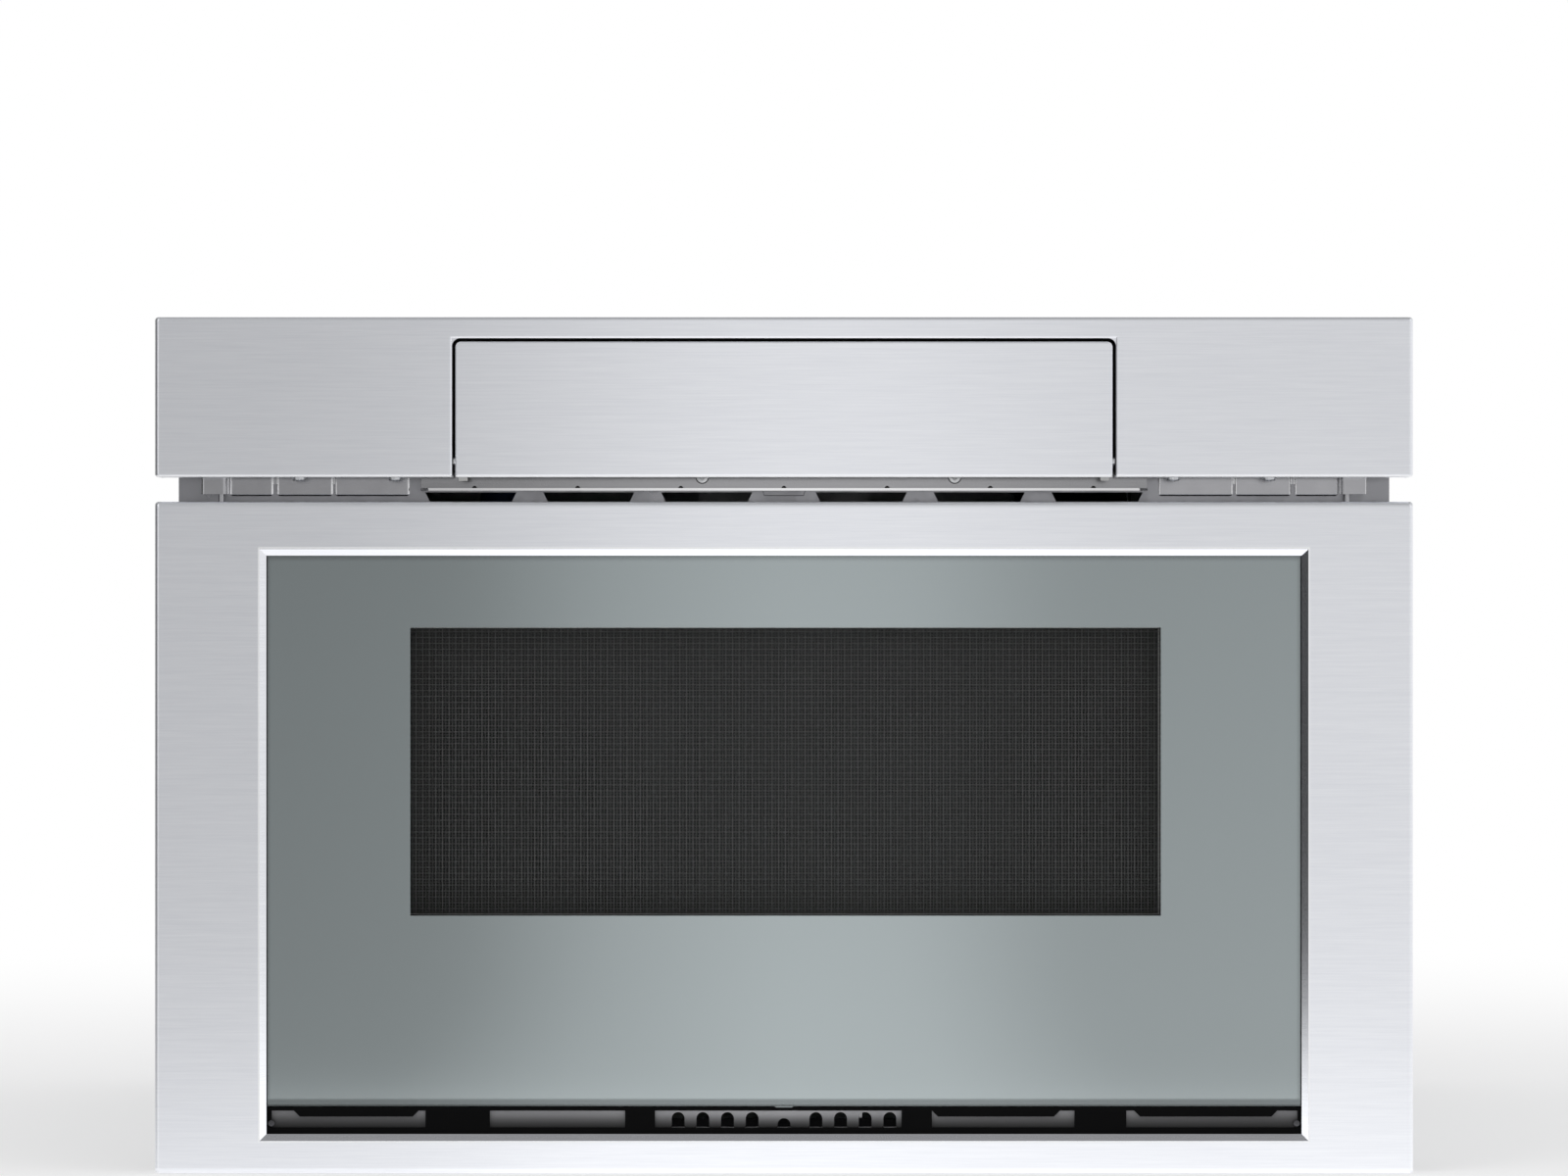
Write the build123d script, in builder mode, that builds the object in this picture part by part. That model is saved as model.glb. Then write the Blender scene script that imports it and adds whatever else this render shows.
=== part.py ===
from build123d import *
import math
import os

# A drawer-type built-in microwave, in millimetres. +X is to the right as seen from the room,
# +Y goes into the cabinet and +Z is up. The origin is on the cabinet shelf, in the middle of
# the width, at the front face of the cabinet, which is the rear face of the mounting flange.
os.makedirs("parts", exist_ok=True)

# Front, as seen from the room
front_width = 606.4
door_height = 323.8
front_gap = 11.8
fascia_height = 77.2
door_drop = 11.0
front_depth = 26.0
front_sheet = 1.0
front_corner = 1.6
front_bend = 1.5
return_setback = 1.5
door_return = 19.0
fascia_lower_return = 14.0

# Body behind the cabinet face
flange_inset = 9.1
flange_top_inset = 5.8
flange_sheet = 1.2
flange_lap = 16.1
flange_top_lap = 26.0
rear_room = 105.0
case_sheet = 0.8
base_sheet = 1.2
case_edge = 12.0
bead_depth = 1.2
bead_width = 14.0
bead_end_room = 46.0
side_bead_pitch = 100.0
side_beads_y = 150.0
top_bead_pitch = 150.0
top_beads_y = 330.0
cabinet_hole_radius = 2.3
cabinet_hole_margin = 8.1
cabinet_hole_rise = 280.0
cabinet_hole_low = 58.0

# Air openings of the case
base_slot = 34.0
base_slot_width = 5.0
base_slot_pitch = 46.0
base_slot_row = 16.0
base_slot_columns = 8
base_slot_rows = 3
base_slots_y = 110.0
grille_slot = 62.0
grille_slot_width = 3.4
grille_pitch = 9.0
grille_row = 70.0
grille_columns = 12
side_grille_columns = 6
grille_x = -20.0
grille_z = 236.0
vent_width = 44.3
vent_height = 12.0
vent_top_gap = 6.9
vent_side_angle = 64.0
vent_pitch = 57.3
vent_count_a_side = 3
vent_offset = 75.1

# Cavity, the space that the drawer's tray closes
tray_side_room = 58.0
tray_depth = 418.0
cooking_height = 178.0
tray_wall = 1.0
tray_side_height = 120.0
tray_lip_height = 22.0
tray_corner = 22.0
tray_floor_bend = 5.0
tray_rim = 4.0
tray_side_clearance = 12.0
tray_rear_clearance = 20.0
tray_underside = 84.0
tray_floor_gap = 4.2
cavity_sheet = 0.8
cavity_corner = 12.0
shelf_plate = 4.0
shelf_plate_margin = 8.0
shelf_plate_corner = 16.0

# Microwave feed above the cavity
stirrer_y = 220.0
recess_half = 95.0
recess_height = 15.0
cover_sheet = 1.6
cover_lap = 7.0
feed_radius = 24.0
stirrer_radius = 82.0
stirrer_blade_width = 34.0
stirrer_blade = 1.2
stirrer_blade_angle = 14.0
stirrer_blade_count = 4
stirrer_hub_radius = 9.0
stirrer_hub_height = 7.0
stirrer_shaft_radius = 3.0
stirrer_lift = 5.0
waveguide_width = 88.0
waveguide_height = 43.0
waveguide_sheet = 1.2
waveguide_front = 178.0
waveguide_rear_gap = 12.0
waveguide_foot = 11.0
running_clearance = 0.05
shaft_end_gap = 1.0
stirrer_motor_radius = 24.0
stirrer_motor_height = 15.0
stirrer_motor_ear = 7.0

# Magnetron, hung below the rear end of the waveguide
magnetron_behind = 54.0
magnetron_plate = (94.0, 76.0, 1.6)
magnetron_frame_height = 78.0
magnetron_frame_depth = 62.0
magnetron_frame_inset = 1.5
magnetron_fin_inset = 6.0
magnetron_anode_radius = 20.0
magnetron_antenna_radius = 7.5
magnetron_antenna_height = 25.0
magnetron_port_radius = 16.0
magnetron_fin = 0.8
magnetron_fin_count = 7
magnetron_fin_pitch = 7.5
magnetron_magnet_radius = 27.0
magnetron_magnet_height = 9.0
magnetron_filter = (60.0, 56.0, 26.0)
magnetron_terminal = (14.0, 18.0, 10.0)

# High-voltage supply on the base
transformer_side_room = 92.0
transformer_behind = 52.5
core_width = 94.0
core_depth = 56.0
core_height = 78.0
core_limb = 16.0
core_window = 18.0
coil_gap = 0.4
foot_plate = 2.0
foot_lap = 12.0
capacitor_gap = 18.0
capacitor_behind = 60.0
capacitor_width = 54.0
capacitor_thickness = 34.0
capacitor_height = 92.0
terminal_height = 9.0

# Boards
board_sheet = 1.6
power_board_side_room = 110.0
power_board_y = 160.0
power_board_width = 122.0
power_board_depth = 180.0
standoff_height = 12.0
standoff_radius = 3.5
standoff_inset = 5.2
relay_width = 30.0
relay_depth = 22.0
relay_height = 24.0
relay_side = 30.0
relay_pitch = 36.0
relay_count = 4
can_radius = 10.0
can_height = 36.0
can_side = 25.0
can_pitch = 45.0
can_count = 3
filter_board_side_room = 52.0
filter_board_top_room = 70.0
filter_board_width = 84.0
filter_board_height = 92.0
filter_standoff = 6.0
filter_part_side = 18.0
choke_coil_radius = 14.0
choke_coil_height = 20.0
filter_cap_width = 17.0
filter_cap_height = 46.0

# Cooling fan
fan_x = 150.0
fan_z = 319.5
fan_radius = 42.0
fan_tip_gap = 1.8
fan_ring_wall = 1.6
fan_ring_depth = 27.0
fan_plate = 96.0
fan_hub_radius = 13.0
fan_blade_count = 7
fan_blade_sheet = 1.3
fan_blade_span_y = 16.0
fan_blade_rise = 11.0
fan_blade_bow = 3.0
fan_rotor_inset = 4.0
fan_shaft_radius = 2.5
fan_motor_radius = 21.0
fan_motor_depth = 26.0
fan_arm = 6.0
fan_arm_count = 3
fan_bearing_depth = 9.0
bulkhead_gap = 8.2

# Cavity lamp
lamp_y = 70.0
lamp_x = 150.0
lamp_body = (44.0, 36.0, 30.0)
lamp_body_radius = 3.0
lamp_bulb_radius = 9.0
lamp_bulb_length = 16.0
lamp_bulb_tip = 4.0
lamp_cap_radius = 6.3
lamp_cap_length = 6.0
lamp_window_radius = 13.0
lamp_mesh_hole = 1.6
lamp_mesh_pitch = 6.0

# Telescopic slides
rail_rear_room = 18.0
rail_front = 2.0
rail_z = 46.0
rail_inset = 5.8
rail_width = 12.7
rail_height = 45.7
rail_sheet = 1.2
rail_gap = 0.3
rail_corner = 3.0
rail_mouth = 34.0
rail_boss_radius = 6.5
rail_boss_reach = 0.5
rail_boss_pitch = 160.0
bracket_sheet = 2.0
bracket_foot = 22.0
bracket_slot = 6.0
bracket_slot_z = 12.0
bracket_slot_count = 4
rail_mouth_room = 4.8

# Drawer underframe
beam_height = 40.0
beam_width = 14.0
beam_sheet = 1.5
frame_rear_room = 4.0
crossbar_height = 8.0
crossbar_depth = 12.0
front_plate_low = 21.5
front_plate_high = 57.0
front_plate_web = 10.0

# Rack and pinion drive
gear_module = 1.5
pinion_tooth_count = 16
pressure_angle = 20.0
dedendum = 1.25
tooth_steps = 3
backlash = 0.16
rack_x = 30.0
gear_face = 12.0
pinion_y = 22.0
pitch_line_z = 54.0
drive_shaft_radius = 4.0
drive_shaft_seat = 10.0
gearbox_width = 22.0
gearbox_depth = 40.0
gearbox_low = 20.0
gearbox_high = 62.0
drive_can_radius = 17.5
drive_can_length = 58.0
motor_plate = 1.5
motor_foot = 34.0
shaft_hole_gap = 2.0
pinion_side_gap = 0.5

# Door of the drawer
door_stile = 50.4
door_top_rail = 22.9
opening_low = 15.7
bevel = 3.07
glass_sheet = 4.0
glass_lap = 2.5
glass_slot = 13.2
glass_corner = 1.0
inner_sheet = 1.0
choke_gap = 3.0
choke_width = 28.0
choke_lip = 12.0
choke_slit = 3.0
choke_slit_pitch = 40.0
choke_slit_columns = 12
choke_slit_rows = 5
door_clearance = 0.4
choke_cover_sheet = 0.8
choke_cover_lap = 2.0
skirt_low = 21.0
back_cover_sheet = 0.8
back_cover_inset = 1.0
air_way_low = 10.0
window_margin = 71.3
window_height = 138.7
window_mid_z = 182.4
screen_sheet = 0.6
screen_lap = 10.0
pane_sheet = 2.0
pane_lap = 6.0

# Air slot under the door glass
strip_sheet = 1.2
strip_set = 0.9
strip_side_gap = 0.6
strip_low = 2.0
strip_top_gap = 0.2
strip_window_low = 10.7
strip_window_high = 19.0
# Left and right ends of the windows and the lips, as shares of the strip's half length
strip_windows = (
    (-0.981, -0.686),
    (-0.563, -0.304),
    (-0.247, 0.225),
    (0.283, 0.556),
    (0.655, 0.983),
)
strip_lips = ((-0.938, -0.699), (0.283, 0.528), (0.670, 0.944))
strip_lip_height = 2.9
strip_lip_angle = 45.0
deflector_sheet = 0.6
deflector_gap = 0.6
arch_pitch = 11.9
arch_width = 6.2
arch_offset = 15.4
arch_count_a_side = 4
arch_high = 18.1
arch_low = 8.0
centre_arch_high = 15.2

# Interlock
hook_inset = 26.0
hook_sheet = 3.0
hook_low = 22.0
hook_height = 22.0
hook_reach = 26.0
hook_notch = 7.0
hook_slot_gap = 2.5
holder_width = 24.0
holder_depth = 38.0
holder_low = 14.0
holder_high = 52.0
switch_size = (10.2, 28.0, 16.0)
switch_front = 4.2
switch_tab = 4.5
switch_pitch = 18.0
switch_low = 17.0

# Fascia, its brackets and the visor above the vents
notch_side = 143.1
notch_height = 67.05
notch_radius = 4.0
notch_lip = 2.5
bracket_tabs = ((21.8, 58.0), (59.0, 86.1), (88.0, 109.0))
tab_drop = 8.7
tab_radius = 1.6
tab_slot_top = 3.0
fascia_bracket_sheet = 1.1
fascia_bracket_height = 28.0
fascia_bracket_reach = 22.0
bolt_steps = (27.9, 74.2)
bolt_y = -18.0
bolt_head_radius = 3.3
bolt_head_height = 1.9
bolt_shank_radius = 1.5
bolt_shank = 6.0
block_inset = 11.8
block_width = 12.9
block_drop = 8.0
block_rise = 12.0
block_depth = 12.8
block_radius = 2.0
pin_inset = 21.0
pin_y = -4.5
pin_radius = 1.4
pin_low = 306.0
visor_lap = 16.2
visor_sheet = 1.2
visor_blade_drop = 5.0
visor_reach = 7.3
visor_leg_top = 4.9
visor_tip = 4.0
visor_notch_radius = 0.9
visor_notch_pitch = 50.1
visor_notch_count = 7
visor_screws = (-40.0, 83.5)
visor_screw_rise = 0.5
visor_screw_radius = 3.3
visor_screw_head = 1.8

# Tilting control panel
flap_gap = 1.7
flap_radius = 2.6
flap_bend = 0.8
flap_return = 6.0
pivot_back = 8.0
pivot_up = 8.0
wedge_radius = 38.0
wedge_tail = 8.0
wedge_floor = 3.0
wedge_side_gap = 1.2
panel_glass = 3.0
panel_glass_inset = 0.7
slope_setback = 2.4
slope_drop = 1.35
panel_pocket = 9.0
panel_pocket_start = 14.0
panel_pocket_end = 12.0
panel_pocket_margin = 8.0
hinge_pin_radius = 2.0
hinge_pin_seat = 12.0
pocket_wall = 1.2
pocket_side_gap = 1.4
pocket_roof_gap = 0.8
pocket_floor_gap = 1.6
pocket_back_gap = 2.0
pocket_floor_start = 10.5
pocket_cheek = 6.05

# Damper of the control panel
small_module = 0.7
flap_gear_tooth_count = 16
damper_tooth_count = 10
small_face = 5.0
small_backlash = 0.1
small_tooth_steps = 2
damper_side_gap = 2.0
damper_radius = 6.6
damper_depth = 9.0
damper_ear_height = 18.0
damper_ear_sheet = 1.6
damper_shaft_radius = 1.5
damper_shaft_seat = 5.0

# Mains inlet
gland_side_room = 52.0
gland_top_room = 34.0
gland_radius = 8.0
gland_bore = 4.0
gland_flange = 12.0
gland_flange_sheet = 3.0
gland_reach = 12.0

# Widths that follow from the sizes above
front_half = front_width / 2
flange_half = front_half - flange_inset
body_half = flange_half - flange_lap
side_inner = body_half - case_sheet
tray_width = 2 * (body_half - tray_side_room)
rail_wall_x = tray_width / 2 - rail_inset
hook_x = body_half - hook_inset
opening_width = front_width - 2 * door_stile
window_width = opening_width - 2 * window_margin
strip_half = opening_width / 2 - strip_side_gap
notch_width = front_width - 2 * notch_side
notch_half = notch_width / 2
visor_half = notch_half + visor_lap
bolt_x = [notch_half + step for step in bolt_steps]
transformer_x = -(body_half - transformer_side_room)
capacitor_x = transformer_x + core_width / 2 + foot_lap + capacitor_gap + capacitor_width / 2
power_board_x = -(body_half - power_board_side_room)
filter_board_x = -(body_half - filter_board_side_room)
gland_x = -(body_half - gland_side_room)

# Heights
door_bottom = -door_drop
door_top = door_bottom + door_height
fascia_bottom = door_top + front_gap
fascia_top = fascia_bottom + fascia_height
flange_height = fascia_top - flange_top_inset
body_height = flange_height - flange_top_lap
top_z = body_height - case_sheet
gland_z = body_height - gland_top_room
filter_board_z = body_height - filter_board_top_room

# Depths
front_y = -front_depth
flange_y = -flange_sheet
fascia_back = -return_setback
cavity_rear = tray_depth + tray_wall + tray_rear_clearance
bulkhead_y = cavity_rear + cavity_sheet + bulkhead_gap
body_depth = bulkhead_y + rear_room
rear_y = body_depth - case_sheet
waveguide_rear = body_depth - waveguide_rear_gap
magnetron_y = bulkhead_y + magnetron_behind
transformer_y = bulkhead_y + transformer_behind
capacitor_y = bulkhead_y + capacitor_behind
rail_length = tray_depth - rail_rear_room
frame_end = tray_depth - frame_rear_room

# Places that follow from the cooking space and the door

cooking_floor = tray_underside + tray_wall + shelf_plate
cavity_ceiling = cooking_floor + cooking_height + cover_sheet
cavity_floor = tray_underside - tray_floor_gap
cavity_half = tray_width / 2 + tray_wall + tray_side_clearance
cavity_mid_z = (cavity_floor + cavity_ceiling) / 2
cavity_rise = (cavity_ceiling - cavity_floor) / 2
cavity_roof = cavity_ceiling + cavity_sheet
recess_roof = cavity_ceiling + recess_height + cavity_sheet

door_rear = flange_y - door_clearance - choke_cover_sheet
glass_front = front_y + bevel
glass_back = glass_front + glass_sheet
opening_bottom = door_bottom + opening_low
opening_top = door_top - door_top_rail
glass_low = opening_bottom + bevel + glass_slot


def facing(y):
    """A sketch plane at depth y that looks towards the room: sketch x is X and sketch y is Z."""
    return Plane.XZ.offset(-y)


def sideways(x):
    """A sketch plane at x: sketch x is Y and sketch y is Z."""
    return Plane.YZ.offset(x)


def level(z):
    """A horizontal sketch plane at height z."""
    return Plane.XY.offset(z)


def rect(left, right, low, high, mode=Mode.ADD):
    """A rectangle given by its sides."""
    with Locations(((left + right) / 2, (low + high) / 2)):
        Rectangle(right - left, high - low, mode=mode)


def tooth_points(module, teeth, thinning, steps):
    """The outline of one involute tooth that points along +X, from root to tip and back."""
    pitch_radius = module * teeth / 2
    angle = math.radians(pressure_angle)
    base_radius = pitch_radius * math.cos(angle)
    root_radius = pitch_radius - dedendum * module
    tip_radius = pitch_radius + module
    half = math.pi / (2 * teeth) - thinning / (2 * pitch_radius)
    half_at_base = half + math.tan(angle) - angle
    side = [(root_radius - module / 2, half_at_base), (base_radius, half_at_base)]
    for step in range(1, steps + 1):
        radius = base_radius + (tip_radius - base_radius) * step / steps
        roll = math.acos(base_radius / radius)
        side.append((radius, half_at_base - math.tan(roll) + roll))
    upper = [(r * math.cos(a), r * math.sin(a)) for r, a in side]
    return upper + [(x, -y) for x, y in reversed(upper)]


def gear(module, teeth, thinning, steps, first_angle):
    """The flat outline of a gear, with the middle of a tooth at first_angle."""
    with BuildSketch(mode=Mode.PRIVATE) as outline:
        Circle(module * teeth / 2 - dedendum * module)
        with PolarLocations(0, teeth, start_angle=first_angle):
            Polygon(*tooth_points(module, teeth, thinning, steps), align=None)
    return outline.sketch


# Case: a base plate, two sides, a rear panel and a top, all of thin folded sheet.


def side_beads(wall):
    """The upright beads pressed into a side panel, with a wall round each."""
    with Locations((side_beads_y, body_height / 2)):
        with GridLocations(side_bead_pitch, 0, 2, 1):
            SlotOverall(body_height - 2 * bead_end_room + 2 * wall, bead_width + 2 * wall, rotation=90)


def top_beads(wall):
    """The beads pressed across the top cover, with a wall round each."""
    with Locations((0, top_beads_y)):
        with GridLocations(0, top_bead_pitch, 1, 2):
            SlotOverall(2 * (body_half - bead_end_room) + 2 * wall, bead_width + 2 * wall)


with BuildPart() as base_plate:
    with BuildSketch(level(0)):
        rect(-side_inner, side_inner, 0, rear_y)
        with Locations((0, base_slots_y)):
            with GridLocations(base_slot_pitch, base_slot_row, base_slot_columns, base_slot_rows):
                Rectangle(base_slot, base_slot_width, mode=Mode.SUBTRACT)
    extrude(amount=base_sheet)
    with BuildSketch(level(base_sheet)):
        for side in (-1, 1):
            rect(*sorted((side * side_inner, side * (side_inner - base_sheet))), 0, rear_y)
    extrude(amount=case_edge)
base_plate.part.label = "base_plate"
export_step(base_plate.part, "parts/base_plate.step")

with BuildPart() as side_panel_right:
    with BuildSketch(sideways(side_inner)):
        rect(0, rear_y, 0, top_z)
        with Locations((body_depth - grille_row, body_height / 2)):
            with GridLocations(grille_pitch, grille_row, side_grille_columns, 2):
                Rectangle(grille_slot_width, grille_slot, mode=Mode.SUBTRACT)
    extrude(amount=case_sheet)
    with BuildSketch(sideways(side_inner - bead_depth)):
        side_beads(case_sheet)
    extrude(amount=bead_depth)
    with BuildSketch(sideways(side_inner - bead_depth + case_sheet)):
        side_beads(0)
    extrude(amount=bead_depth, mode=Mode.SUBTRACT)
    with BuildSketch(sideways(side_inner - case_edge)):
        rect(0, case_sheet, base_sheet + case_edge, top_z)
    extrude(amount=case_edge)
side_panel_right.part.label = "side_panel_right"
export_step(side_panel_right.part, "parts/side_panel_right.step")

with BuildPart() as side_panel_left:
    add(mirror(side_panel_right.part, about=Plane.YZ, mode=Mode.PRIVATE))
side_panel_left.part.label = "side_panel_left"
export_step(side_panel_left.part, "parts/side_panel_left.step")

with BuildPart() as rear_panel:
    with BuildSketch(facing(body_depth)):
        rect(-body_half, body_half, 0, top_z)
        with Locations((grille_x, grille_z)):
            with GridLocations(grille_pitch, grille_row, grille_columns, 2):
                Rectangle(grille_slot_width, grille_slot, mode=Mode.SUBTRACT)
        with Locations((gland_x, gland_z)):
            Circle(gland_radius + running_clearance, mode=Mode.SUBTRACT)
    extrude(amount=case_sheet)
rear_panel.part.label = "rear_panel"
export_step(rear_panel.part, "parts/rear_panel.step")

with BuildPart() as top_cover:
    with BuildSketch(level(top_z)):
        rect(-body_half, body_half, 0, body_depth)
    extrude(amount=case_sheet)
    with BuildSketch(level(top_z - bead_depth)):
        top_beads(case_sheet)
    extrude(amount=bead_depth)
    with BuildSketch(level(top_z - bead_depth + case_sheet)):
        top_beads(0)
    extrude(amount=bead_depth, mode=Mode.SUBTRACT)
    with BuildSketch(level(top_z - case_edge)):
        for side in (-1, 1):
            rect(*sorted((side * side_inner, side * (side_inner - case_sheet))), case_edge, rear_y)
        rect(-(side_inner - case_edge), side_inner - case_edge, rear_y - case_sheet, rear_y)
    extrude(amount=case_edge)
top_cover.part.label = "top_cover"
export_step(top_cover.part, "parts/top_cover.step")

# Mounting flange: the sheet that everything in front hangs on. It is screwed to the cabinet
# through the holes outside the body, and has the mouths of the cavity, the slides, the hot
# air vents, the interlock hooks and the control panel's pocket.
pivot_y = front_y + pivot_back
pivot_z = fascia_bottom + pivot_up
flap_half = notch_half - flap_gap
pocket_half = flap_half + pocket_side_gap
pocket_floor = pivot_z + wedge_floor - pocket_floor_gap
pocket_step_y = flange_y - pocket_wall
pocket_roof = top_z - pocket_roof_gap - pocket_wall
rail_mouth_half = rail_wall_x + bracket_sheet + rail_mouth_room
vent_top = fascia_bottom - vent_top_gap
hook_mid_z = hook_low + hook_height / 2

with BuildPart() as mounting_flange:
    with BuildSketch(facing(0)):
        rect(-flange_half, flange_half, 0, flange_height)
        rect(-cavity_half, cavity_half, cavity_floor, cavity_ceiling, Mode.SUBTRACT)
        rect(-rail_mouth_half, rail_mouth_half, base_sheet + case_edge / 2,
             cavity_floor - case_edge / 2, Mode.SUBTRACT)
        rect(-(pocket_half + pocket_wall), pocket_half + pocket_wall,
             pocket_floor - pocket_wall, pocket_roof + pocket_wall, Mode.SUBTRACT)
        for side in (-1, 1):
            with Locations((side * vent_offset / 2, vent_top)):
                with Locations(*[(side * k * vent_pitch, 0) for k in range(vent_count_a_side)]):
                    Trapezoid(vent_width, vent_height, vent_side_angle, rotation=180,
                              align=(Align.CENTER, Align.MIN), mode=Mode.SUBTRACT)
            with Locations((side * hook_x, hook_mid_z)):
                Rectangle(hook_sheet + 2 * hook_slot_gap, hook_height + 2 * hook_slot_gap,
                          mode=Mode.SUBTRACT)
        with Locations((0, cabinet_hole_low + cabinet_hole_rise / 2)):
            with GridLocations(2 * (flange_half - cabinet_hole_margin), cabinet_hole_rise, 2, 2):
                Circle(cabinet_hole_radius, mode=Mode.SUBTRACT)
    extrude(amount=flange_sheet)
mounting_flange.part.label = "mounting_flange"
export_step(mounting_flange.part, "parts/mounting_flange.step")

# Bulkhead: closes off the rear compartment and carries the fan.
with BuildPart() as bulkhead:
    with BuildSketch(facing(bulkhead_y + case_sheet)):
        rect(-(side_inner - base_sheet), side_inner - base_sheet, base_sheet, top_z)
        rect(-waveguide_width / 2, waveguide_width / 2, recess_roof,
             recess_roof + waveguide_height, Mode.SUBTRACT)
        with Locations((fan_x, fan_z)):
            Circle(fan_radius + fan_tip_gap, mode=Mode.SUBTRACT)
        for side in (-1, 1):
            rect(*sorted((side * case_edge, side * rail_wall_x)), base_sheet + case_edge,
                 cavity_floor - case_edge, Mode.SUBTRACT)
        for side in (-1, 1):
            rect(*sorted((side * (side_inner - case_edge), side * side_inner)),
                 top_z - case_edge - case_sheet, top_z, Mode.SUBTRACT)
    extrude(amount=case_sheet)
bulkhead.part.label = "bulkhead"
export_step(bulkhead.part, "parts/bulkhead.step")

# Cavity: a welded steel box, open to the front, with a recess in its roof for the stirrer.
with BuildPart() as cavity_shell:
    with BuildSketch(level(cavity_floor - cavity_sheet)):
        rect(-(cavity_half + cavity_sheet), cavity_half + cavity_sheet, 0, cavity_rear + cavity_sheet)
    extrude(amount=cavity_roof - cavity_floor + cavity_sheet)
    fillet(cavity_shell.edges().filter_by(Axis.Z).group_by(Axis.Y)[-1], cavity_corner)
    offset(amount=-cavity_sheet, openings=cavity_shell.faces().sort_by(Axis.Y)[0])
    with BuildSketch(level(cavity_ceiling)):
        with Locations((0, stirrer_y)):
            Rectangle(2 * (recess_half + cavity_sheet), 2 * (recess_half + cavity_sheet))
    extrude(amount=recess_height + cavity_sheet)
    with BuildSketch(level(cavity_ceiling)):
        with Locations((0, stirrer_y)):
            Rectangle(2 * recess_half, 2 * recess_half)
    extrude(amount=recess_height, mode=Mode.SUBTRACT)
    with BuildSketch(level(cavity_ceiling)):
        with Locations((0, stirrer_y)):
            Circle(feed_radius)
        with Locations((lamp_x, lamp_y)):
            with HexLocations(lamp_mesh_pitch / 2, 3, 3):
                RegularPolygon(lamp_mesh_hole, 6)
    extrude(amount=recess_height + 2 * cavity_sheet, mode=Mode.SUBTRACT)
cavity_shell.part.label = "cavity_shell"
export_step(cavity_shell.part, "parts/cavity_shell.step")

# Stirrer cover: a plate that lets microwaves through and closes the recess from below.
with BuildPart() as stirrer_cover:
    with BuildSketch(level(cavity_ceiling - cover_sheet)):
        with Locations((0, stirrer_y)):
            RectangleRounded(2 * (recess_half + cover_lap), 2 * (recess_half + cover_lap), cavity_corner)
    extrude(amount=cover_sheet)
stirrer_cover.part.label = "stirrer_cover"
export_step(stirrer_cover.part, "parts/stirrer_cover.step")

# Waveguide: a closed duct of folded sheet, from the magnetron to the stirrer's recess.
waveguide_half = waveguide_width / 2
waveguide_top = recess_roof + waveguide_height

with BuildPart() as waveguide:
    with BuildSketch(level(recess_roof)):
        rect(-waveguide_half, waveguide_half, waveguide_front, waveguide_rear)
    extrude(amount=waveguide_height)
    with BuildSketch(level(recess_roof + waveguide_sheet)):
        rect(-(waveguide_half - waveguide_sheet), waveguide_half - waveguide_sheet,
             waveguide_front + waveguide_sheet, waveguide_rear - waveguide_sheet)
    extrude(amount=waveguide_height - 2 * waveguide_sheet, mode=Mode.SUBTRACT)
    with BuildSketch(level(recess_roof)):
        rect(-(waveguide_half + waveguide_foot), waveguide_half + waveguide_foot,
             waveguide_front, stirrer_y + recess_half)
        rect(-(waveguide_half - waveguide_sheet), waveguide_half - waveguide_sheet,
             waveguide_front, stirrer_y + recess_half, Mode.SUBTRACT)
    extrude(amount=waveguide_sheet)
    with BuildSketch(level(recess_roof)):
        with Locations((0, stirrer_y)):
            Circle(feed_radius)
        with Locations((0, magnetron_y)):
            Circle(magnetron_port_radius)
    extrude(amount=waveguide_sheet, mode=Mode.SUBTRACT)
    with BuildSketch(level(waveguide_top - waveguide_sheet)):
        with Locations((0, stirrer_y)):
            Circle(stirrer_shaft_radius + shaft_hole_gap / 2)
    extrude(amount=waveguide_sheet, mode=Mode.SUBTRACT)
waveguide.part.label = "waveguide"
export_step(waveguide.part, "parts/waveguide.step")

# Stirrer: a metal fan that turns in the recess and spreads the microwaves, with its slow motor.
stirrer_plane = Plane((0, stirrer_y, cavity_ceiling + stirrer_lift))

with BuildPart() as stirrer_blade_blank:
    Box(stirrer_radius - stirrer_hub_radius / 2, stirrer_blade_width, stirrer_blade,
        align=(Align.MIN, Align.CENTER, Align.CENTER), rotation=(stirrer_blade_angle, 0, 0))
    fillet(stirrer_blade_blank.edges().filter_by(Axis.X, reverse=True)
           .sort_by(Axis.X)[-4:].filter_by(GeomType.LINE).sort_by(SortBy.LENGTH)[:2],
           stirrer_blade_width / 4)

with BuildPart(stirrer_plane) as mode_stirrer:
    Cylinder(stirrer_hub_radius, stirrer_hub_height, align=(Align.CENTER, Align.CENTER, Align.CENTER))
    with PolarLocations(stirrer_hub_radius / 2, stirrer_blade_count):
        add(stirrer_blade_blank.part)
    Cylinder(stirrer_shaft_radius,
             waveguide_top + stirrer_motor_height / 2 - cavity_ceiling - stirrer_lift,
             align=(Align.CENTER, Align.CENTER, Align.MIN))
mode_stirrer.part.label = "mode_stirrer"
export_step(mode_stirrer.part, "parts/mode_stirrer.step")

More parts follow.
